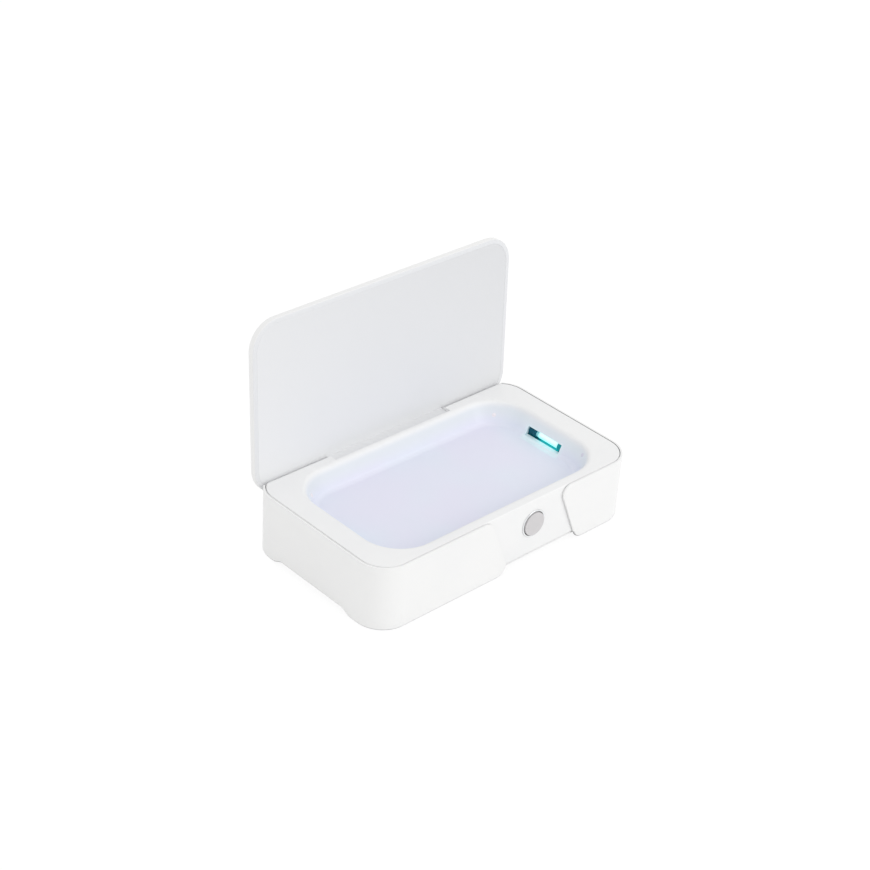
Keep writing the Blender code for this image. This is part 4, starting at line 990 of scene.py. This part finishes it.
# %% Button ring and cap
BUTTON_PLACE = at(BUTTON_X, 0.0, BUTTON_Z) @ ACROSS_Y
RING_RADIUS = 0.0095
RING_BORE = RING_RADIUS - 0.00105
RING_BEAD = 0.00030
RING_FRONT = HALF_DEPTH + 0.0006
RING_REAR = HALF_DEPTH - WALL - GAP - 0.0010
RING_FLANGE = RING_RADIUS + 0.0007
barrel = RING_RADIUS - 2 * GAP
profile = [(RING_BORE, RING_REAR)]
profile += arc((RING_BORE + RING_BEAD, RING_FRONT - RING_BEAD), RING_BEAD, 180, 90, 6)
profile += arc((RING_RADIUS - RING_BEAD, RING_FRONT - RING_BEAD), RING_BEAD, 90, 0, 6)
profile += [(RING_RADIUS, HALF_DEPTH + GAP / 2), (barrel, HALF_DEPTH + GAP / 2)]
profile += [(barrel, RING_REAR + 0.0010), (RING_FLANGE, RING_REAR + 0.0010)]
profile += [(RING_FLANGE, RING_REAR)]
ring = spun("button_ring", profile, BUTTON_PLACE, 96)

CAP_FRONT = HALF_DEPTH + 0.0015
CAP_RADIUS = RING_BORE - 0.00042
CAP_DISH = 0.0003
CAP_SHOULDER = 0.0004
CAP_FLANGE = RING_BORE + 0.0004
CAP_INSIDE = CAP_RADIUS - 0.0010
STEM_RADIUS = 0.0018
flange_front = RING_REAR - GAP
flange_rear = flange_front - 0.0008
cap_roof = CAP_FRONT - CAP_DISH - 0.0012
stem_low = SHIFT.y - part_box("switch_plunger")[0].y + GAP
profile = [(CAP_RADIUS * i / 10, CAP_FRONT - CAP_DISH * (1 - (i / 10) ** 2)) for i in range(10)]
profile += arc((CAP_RADIUS - CAP_SHOULDER, CAP_FRONT - CAP_SHOULDER), CAP_SHOULDER, 90, 0, 6)
profile += [(CAP_RADIUS, flange_front), (CAP_FLANGE, flange_front), (CAP_FLANGE, flange_rear)]
profile += [(CAP_INSIDE, flange_rear), (CAP_INSIDE, cap_roof), (STEM_RADIUS, cap_roof)]
profile += [(STEM_RADIUS, stem_low), (0.0, stem_low)]
cap = spun("button_face", profile, BUTTON_PLACE, 96)
print("cap stem ends in front of the middle, in mm:", in_mm([stem_low], 2))

# %% [markdown]
# ## Chrome and the button's grey
# Chrome is a mirror with a trace of haze: its look comes from what it reflects. The grey
# cap is satin plastic with fine turned marks round its middle, as such caps have.

# %% Metal finishes
def metal(name, colour, roughness, scratch_scale, scratch_depth, **constants):
    made = Finish(name, colour, roughness, Metallic=1.0, **constants)
    where = made.place()
    haze = made.noise(where, scratch_scale, 4.0, 0.7)
    smear = made.noise(where, 160.0, 2.0)
    made.drive(
        Base_Color=made.mix(smear, colour, tuple(0.94 * value for value in colour)),
        Roughness=haze * 0.08 + smear * 0.05 + roughness,
    )
    made.bump(haze, 0.2, scratch_depth)
    return made


def cap_material():
    grey = (0.632, 0.614, 0.622)
    made = Finish("button_satin", grey, 0.38)
    centre = SHIFT + Vector((BUTTON_X, 0.0, BUTTON_Z))
    where = made.place(centre, (math.pi / 2, 0.0, 0.0))
    turned = made.rings(where, 900.0, Distortion=0.6, Detail=1.0)
    cloud = made.noise(where, 300.0, 3.0)
    made.drive(
        Base_Color=made.mix(cloud, grey, (0.602, 0.586, 0.594)),
        Roughness=turned * 0.10 + cloud * 0.06 + 0.30,
    )
    made.bump(turned, 0.15, 0.00001)
    return made


chrome = metal("chrome_ring", (0.86, 0.875, 0.885), 0.10, 2600.0, 0.000003)
steel = metal("plain_steel", (0.62, 0.62, 0.64), 0.24, 1800.0, 0.000008)
button_finish = cap_material()
dress(ring, "base", "chrome", chrome, "button_bezel")
dress(cap, "button", "button_grey", button_finish, "button_cap")

# %% [markdown]
# ## The lamps
# Behind a window in each end wall lies a short tube in a half-round reflector, held by two
# dark holders. The tube is spun with round ends. Its glass glows white-cyan, palest along
# its top, and darkens to teal at its ends, where the electrodes are, so the glow follows
# the length and the height of the tube. The rear holder is shorter than the solid it
# stands for: the photograph shows more of the tube.

# %% Lamp tubes
SOCKET_RADIUS = 0.0029
LAMP_RADIUS = 0.0024
TUBE_SEAT = 0.0026
FRONT_HOLDER = 0.0034
REAR_HOLDER = 0.0068
SOLID_REAR_HOLDER = 0.0080
holder_front = LAMP_Y - WINDOW_HALF + GAP
holder_rear = LAMP_Y + WINDOW_HALF - GAP
tube_front = holder_front + FRONT_HOLDER - TUBE_SEAT
tube_rear = holder_rear - SOLID_REAR_HOLDER + TUBE_SEAT
REFLECTOR_IN = SOCKET_RADIUS + GAP
REFLECTOR_OUT = REFLECTOR_IN + 0.0008
END_ROUND = 0.0012
end_middle = LAMP_RADIUS - END_ROUND
length = tube_rear - tube_front
tube_profile = [(0.0, 0.0), *arc((end_middle, END_ROUND), END_ROUND, -90, 0, 6)]
tube_profile += [*arc((end_middle, length - END_ROUND), END_ROUND, 0, 90, 6), (0.0, length)]


def lamp_glow():
    made = Finish("lit_tube", (0.30, 0.62, 0.62), 0.10, Emission_Strength=1.0)
    where = made.place(SHIFT)
    _, along, height = made.parts(where)
    lit = along.step(tube_front + 0.0022, tube_front + 0.0042)
    lit = lit * (1 - along.step(tube_rear - 0.0046, tube_rear - 0.0024))
    wisps = made.noise(where, 420.0, 2.0)
    upper = height.step(LAMP_Z - 0.0020, LAMP_Z + 0.0022)
    hot = made.mix((wisps - 0.5) * 0.4 + upper, (0.12, 0.72, 0.68), (0.66, 1.00, 0.93))
    made.drive(
        Emission_Color=made.mix(lit, (0.00, 0.10, 0.13), hot), Roughness=wisps * 0.06 + 0.06
    )
    return made


def holder(name, x, outer, toward, length, tube_end):
    """A dark cup that the tube's end sits in, open towards the tube."""
    depth = abs(tube_end - toward * GAP - outer)
    bore = LAMP_RADIUS + GAP
    lip = 0.00025
    profile = [(0.0, 0.0), (SOCKET_RADIUS - lip, 0.0), (SOCKET_RADIUS, lip)]
    profile += [(SOCKET_RADIUS, length - lip), (SOCKET_RADIUS - lip / 2, length)]
    profile += [(bore, length), (bore, depth), (0.0, depth)]
    turn = Matrix.Rotation(-toward * math.pi / 2, 4, "X")
    return spun(name, profile, at(x, outer, LAMP_Z) @ turn, 48)


def reflector_outline(side):
    lip = TRAY.half - tray_back(DECK_Z - LAMP_Z + REFLECTOR_IN, GAP) - LAMP_X
    outline = arc((0, 0), REFLECTOR_IN, 78, -90, 28)
    outline += [(lip, -REFLECTOR_IN), (lip, -REFLECTOR_OUT)]
    outline += arc((0, 0), REFLECTOR_OUT, -90, 78, 28)
    return [(side * across, up) for across, up in outline]


print("tube's ends in mm:", in_mm([tube_front, tube_rear]))

# %% Lamp materials
def holder_material(name, colour, shade, painted_glow_colour):
    """Dark plastic whose emission is a painted glow, standing for the tube's light inside it."""
    made = moulded(name, colour, shade, 0.50, sheen=0.2)
    made.drive(Emission_Color=painted_glow_colour, Emission_Strength=1.0)
    return made


glow = lamp_glow()
# Both holders carry a painted glow of the tube's light; the paler front holder's glow is the
# stronger.
teal = holder_material("holder_teal", (0.0, 0.090, 0.130), (0.0, 0.045, 0.075), (0.0, 0.016, 0.026))
pale = holder_material("holder_pale_teal", (0.0, 0.26, 0.28), (0.0, 0.17, 0.20), (0.0, 0.06, 0.07))
# The foil's emission is a painted glow: the tube's light on the reflector, not a lamp of its own.
mirror = metal(
    "reflector_foil", (0.10, 0.42, 0.46), 0.16, 900.0, 0.00002,
    Emission_Color=(0.00, 0.07, 0.09), Emission_Strength=0.6,
)
HOLDERS = [
    ("front", pale, holder_front, 1, FRONT_HOLDER, tube_front),
    ("rear", teal, holder_rear, -1, REAR_HOLDER, tube_rear),
]
print("lamp materials:", glow.material.name, teal.material.name, pale.material.name)

# %% Lamp sets
for name, side in (("left", -1), ("right", 1)):
    x = side * LAMP_X
    start = at(x, tube_front, LAMP_Z) @ Matrix.Rotation(-math.pi / 2, 4, "X")
    tube = spun(f"lit_tube_{name}", tube_profile, start, 48)
    dress(tube, "base", "lamp_glass", glow, f"uv_lamp_{name}")
    for end, finish, *sizes in HOLDERS:
        cup = holder(f"lamp_holder_{name}_{end}", x, *sizes)
        dress(cup, "base", "socket_black", finish, f"lamp_socket_{name}_{end}")
    place = at(x, LAMP_Y, LAMP_Z) @ ACROSS_Y
    foil = prism(f"lamp_foil_{name}", reflector_outline(side), 2 * (WINDOW_HALF + 0.0012), place)
    dress(foil, "base", "reflector", mirror, f"lamp_reflector_{name}")

# %% [markdown]
# ## Underside, feet and screws
# The bottom cover closes the housing from below: a shallow dish with a chamfered edge.
# Four grey rubber feet and four cross-head screws show only when the box is turned over,
# but the object is looked at from there too.

# %% Bottom cover
BOTTOM_LOW = 0.0032
BOTTOM_FLOOR = BOTTOM_LOW + 0.0018
CHAMFER = 0.0012
EDGE_IN = 0.0006
RIM_Z = HOUSING_LOW - GAP
SCREW_HEAD = 0.0017
SEAT_Z = BOTTOM_LOW + SCREW_HEAD + GAP
LIP = WALL + GAP
LIP_TOP = RIM_Z + 0.0035
FOOT_X = 0.0800
FOOT_Y = 0.0370
FOOT_RADIUS = 0.0060
FEET = [(x * FOOT_X, y * FOOT_Y) for x, y in CORNERS.values()]
foot_top = BOTTOM_LOW + 0.0006
BOARD_REAR = HALF_DEPTH - REAR_WALL - 0.0012 - 2 * GAP
BOARD_SCREWS = [(x * 0.0305, BOARD_REAR - y) for x in (-1, 1) for y in (0.0045, 0.0265)]
outer = HOUSING.inset(EDGE_IN)
lip_outer = HOUSING.inset(LIP, REAR_WALL - WALL)
lip_inner = HOUSING.inset(LIP + 0.0012, REAR_WALL - WALL)
rings = [
    (HOUSING.inset(EDGE_IN + CHAMFER), BOTTOM_LOW),
    (outer, BOTTOM_LOW + CHAMFER),
    (outer, RIM_Z),
    (lip_outer, RIM_Z),
    (lip_outer, LIP_TOP),
    (lip_inner, LIP_TOP),
    (lip_inner, BOTTOM_FLOOR),
]
bottom = shell("bottom_cover_moulding", rings)
half_floor = (BOTTOM_LOW + BOTTOM_FLOOR) / 2
raised = [
    posts("base_bosses", CASE_SCREWS, half_floor, BOSS_LOW - GAP, 0.0042),
    posts("board_posts", BOARD_SCREWS, half_floor, BOTTOM_FLOOR + 0.0042, 0.0030),
]
combine(bottom, raised, "UNION")
holes = [
    posts("screw_ways", CASE_SCREWS, 0.0, 0.0200, SCREW_BORE, 32),
    posts("screw_seats", CASE_SCREWS, 0.0, SEAT_Z + GAP, 0.0031),
    posts("foot_seats", FEET, 0.0, foot_top, FOOT_RADIUS + GAP, 64),
    posts("post_bores", BOARD_SCREWS, 0.0050, 0.0200, SCREW_BORE, 32),
]
combine(bottom, holes, "DIFFERENCE")
bottom.data.transform(BASE)
soften(bottom, 0.00015, angle=60)
dress(bottom, "base", "white_plastic", white, "bottom_cover")

# %% Feet and case screws
SHANK = 0.0128
ARM = 0.0015
THIN = 0.00032
SLOT_DEPTH = 0.0009


def rubber_material():
    made = Finish("foot_rubber", (0.33, 0.335, 0.34), 0.80)
    where = made.place()
    grain = made.noise(where, 2200.0, 3.0, 0.7)
    dust = made.noise(where, 260.0, 2.0)
    made.drive(
        Base_Color=made.mix(dust, (0.30, 0.305, 0.31), (0.37, 0.375, 0.38)),
        Roughness=grain * 0.16 + 0.72,
    )
    made.bump(grain, 0.5, 0.00004)
    return made


def cross_slots(x, y):
    """Two crossed bars, where a screwdriver's blades go, in the frame of the CAD model."""
    middle = SHIFT + Vector((x, y, 0.0))
    low = SEAT_Z - SCREW_HEAD - 0.0005
    high = SEAT_Z - SCREW_HEAD + SLOT_DEPTH
    return [
        block("slot", middle + Vector((-a, -b, low)), middle + Vector((a, b, high)))
        for a, b in ((ARM, THIN), (THIN, ARM))
    ]


foot_profile = [(0.0, foot_top - GAP), (FOOT_RADIUS, foot_top - GAP)]
foot_profile += arc((FOOT_RADIUS - 0.0008, 0.0008), 0.0008, 0, -90, 6)
foot_profile += [(0.0040, 0.0), (0.0037, 0.0004), (0.0026, 0.0004), (0.0023, 0.0), (0.0, 0.0)]
screw_profile = [(0.0, SCREW_HEAD), *arc((0.0017, SCREW_HEAD - 0.0011), 0.0011, 90, 0, 6)]
screw_profile += [(0.0028, 0.0), (0.0011, 0.0), (0.0011, 0.0006 - SHANK), (0.0005, -SHANK)]
screw_profile += [(0.0, -SHANK)]
rubber = rubber_material()
upside_down = Matrix.Diagonal((1.0, -1.0, -1.0, 1.0))
for name, foot_xy, screw_xy in zip(CORNERS, FEET, CASE_SCREWS):
    foot = spun(f"foot_{name}", foot_profile, at(*foot_xy, 0.0), 64)
    dress(foot, "base", "rubber", rubber, f"rubber_foot_{name}")
    screw = spun(f"case_screw_pan_{name}", screw_profile, at(*screw_xy, SEAT_Z) @ upside_down, 32)
    combine(screw, cross_slots(*screw_xy), "DIFFERENCE")
    dress(screw, "base", "steel", steel, f"case_screw_{name}")

# %% [markdown]
# ## The charging port
# A stainless shell with a tongue in its mouth: the usual flat oval socket, seen from
# behind through its slot.

# %% Charging port
PORT_HALF_WIDTH = 0.00445
PORT_HALF_HEIGHT = 0.0016
PORT_LENGTH = 0.0073
PORT_WALL = 0.0004
TONGUE_HALF_WIDTH = 0.0033
TONGUE_HALF_HEIGHT = 0.00035
port_rear = HALF_DEPTH - 0.0017
port_y = port_rear - PORT_LENGTH / 2
port = flat_oval("port_shell", PORT_HALF_WIDTH, PORT_HALF_HEIGHT, 14, PORT_LENGTH, port_y)
inner_sizes = (PORT_HALF_WIDTH - PORT_WALL, PORT_HALF_HEIGHT - PORT_WALL)
depth = PORT_LENGTH - 3 * PORT_WALL
combine(port, [flat_oval("port_mouth", *inner_sizes, 14, 2 * depth, port_rear)], "DIFFERENCE")
low = (-TONGUE_HALF_WIDTH, port_rear - PORT_LENGTH + PORT_WALL, PORT_Z - TONGUE_HALF_HEIGHT)
high = (TONGUE_HALF_WIDTH, port_rear - 2 * PORT_WALL, PORT_Z + TONGUE_HALF_HEIGHT)
combine(port, [block("port_tongue", low, high)], "UNION")
port.data.transform(BASE)
soften(port, 0.00008)
dress(port, "base", "steel", steel, "charging_port")

# %% [markdown]
# ## The pieces that stay as the CAD made them
# Circuit boards, coil, magnets and the rest lie inside, and their plain shapes are right.
# They only need materials: solder mask with faint tracks, enamelled wire, sintered
# ferrite, moulded black plastic and steel.

# %% Inner materials
def board_material():
    green = (0.03, 0.20, 0.10)
    made = Finish("solder_mask", green, 0.42)
    where = made.place()
    sockets = {"Vector": where, "Scale": 120.0, "Mortar Size": 0.06}
    tracks = made.node("ShaderNodeTexBrick", {"offset": 0.5}, sockets)
    lines = Wave(made, tracks.outputs["Fac"])
    pads = made.noise(where, 500.0, 2.0).step(0.62, 0.66)
    tracked = made.mix(lines, green, (0.05, 0.30, 0.14))
    made.drive(
        Base_Color=made.mix(pads, tracked, (0.62, 0.56, 0.36)), Roughness=lines * 0.1 + 0.38
    )
    made.bump(lines, 0.3, 0.00003)
    return made


def coil_material():
    made = Finish("enamelled_wire", (0.72, 0.36, 0.20), 0.32, Metallic=1.0)
    turns = made.rings(made.place((0.0, TRAY_MIDDLE + SHIFT.y, 0.0)), 320.0)
    made.drive(
        Base_Color=made.mix(turns, (0.42, 0.18, 0.09), (0.80, 0.42, 0.24)),
        Roughness=turns * -0.12 + 0.42,
    )
    made.bump(turns, 0.8, 0.0002)
    return made


ferrite = moulded("sintered_ferrite", (0.055, 0.055, 0.060), (0.040, 0.040, 0.045), 0.60, 0.00004)
black = moulded("inner_black", (0.022, 0.024, 0.028), (0.016, 0.017, 0.020), 0.48, 0.00003)
board_screws = [f"board_screw_{name}" for name in CORNERS]
pairs = [f"{part}_{side}" for part in ("lid_magnet", "hinge_pin") for side in ("left", "right")]
INNER = [
    (board_material(), ["main_board", "button_board"]),
    (coil_material(), ["charging_coil"]),
    (ferrite, ["ferrite_sheet"]),
    (white, ["coil_carrier"]),
    (black, ["lamp_driver", "tact_switch", "lid_sensor"]),
    (button_finish, ["switch_plunger"]),
    (steel, board_screws + pairs),
]
for finish, nodes in INNER:
    for node in nodes:
        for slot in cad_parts[node].material_slots:
            slot.material = finish.material
print("CAD nodes with new materials:", sum(len(nodes) for _, nodes in INNER))

# %% [markdown]
# ## Floor, backdrop and light
# The photograph's background is pure white and its shadow is almost gone. More light would
# also bleach the box, so the white comes from the floor and the world as the camera sees
# them, and two softboxes add plain light from the front right and the left. The floor
# still darkens a little where the object stands.

# %% Floor and light
WHITE = (1.0, 1.0, 1.0)
FLOOR_WHITE = 0.86
FLOOR_ALBEDO = 0.88
FLOOR_BRIGHTNESS = 1.06
FLOOR_HALF = 6.0
WORLD_LEVEL = 0.87
SOFTBOX_AIM = Vector((0.0, 0.0, 0.03))
SOFTBOX_SIZE = 1.4


def seen_directly(tree):
    """1 for rays of the camera, of mirrors and through glass, 0 for those that light things."""
    rays = tree.node("ShaderNodeLightPath").outputs
    seen = Wave(tree, rays["Is Camera Ray"]).maths("MAXIMUM", rays["Is Glossy Ray"])
    return seen.maths("MAXIMUM", rays["Is Transmission Ray"])


def two_faced(made, output, share, *shaders):
    """Gives a floor or a world two shaders: one lights the object, the other is looked at."""
    made.use_nodes = True
    made.node_tree.nodes.clear()
    tree = Tree(made.node_tree)
    lighting, shown = (tree.node(kind, None, sockets).outputs[0] for kind, sockets in shaders)
    sockets = {0: seen_directly(tree) * share, 1: lighting, 2: shown}
    mix = tree.node("ShaderNodeMixShader", None, sockets)
    tree.node(output, None, {"Surface": mix.outputs[0]})


def softbox(name, place, watts):
    lamp = bpy.data.lights.new(name, "AREA")
    lamp.shape = "DISK"
    lamp.size = SOFTBOX_SIZE
    lamp.energy = watts
    turn = (SOFTBOX_AIM - Vector(place)).to_track_quat("-Z", "Y").to_matrix().to_4x4()
    linked(name, lamp).matrix_world = Matrix.Translation(place) @ turn


bm = bmesh.new()
bmesh.ops.create_grid(bm, x_segments=1, y_segments=1, size=FLOOR_HALF)
floor = mesh_object("studio_floor", bm, Matrix.Translation((0, 0, -0.0001)), flip_check=False)
floor_finish = bpy.data.materials.new("studio_floor")
two_faced(
    floor_finish, "ShaderNodeOutputMaterial", FLOOR_WHITE,
    ("ShaderNodeBsdfDiffuse", {"Color": (FLOOR_ALBEDO,) * 3}),
    ("ShaderNodeEmission", {"Strength": FLOOR_BRIGHTNESS}),
)
floor.data.materials.append(floor_finish)
floor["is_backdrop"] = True
world = bpy.data.worlds.new("studio")
two_faced(
    world, "ShaderNodeOutputWorld", 1.0,
    ("ShaderNodeBackground", {"Color": WHITE, "Strength": WORLD_LEVEL}),
    ("ShaderNodeBackground", {"Color": WHITE, "Strength": 1.0}),
)
bpy.context.scene.world = world
softbox("front_right_softbox", (0.7, -1.7, 1.0), 9.0)
softbox("left_softbox", (-1.5, -0.5, 0.8), 1.8)
print("stage ready")

# %% Sizes and finish
visual_low, visual_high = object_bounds()
sizes = {
    "cad": [list(cad_low), list(cad_high)],
    "visual": [list(visual_low), list(visual_high)],
}
print("visual box in mm:", in_mm(visual_high - visual_low))
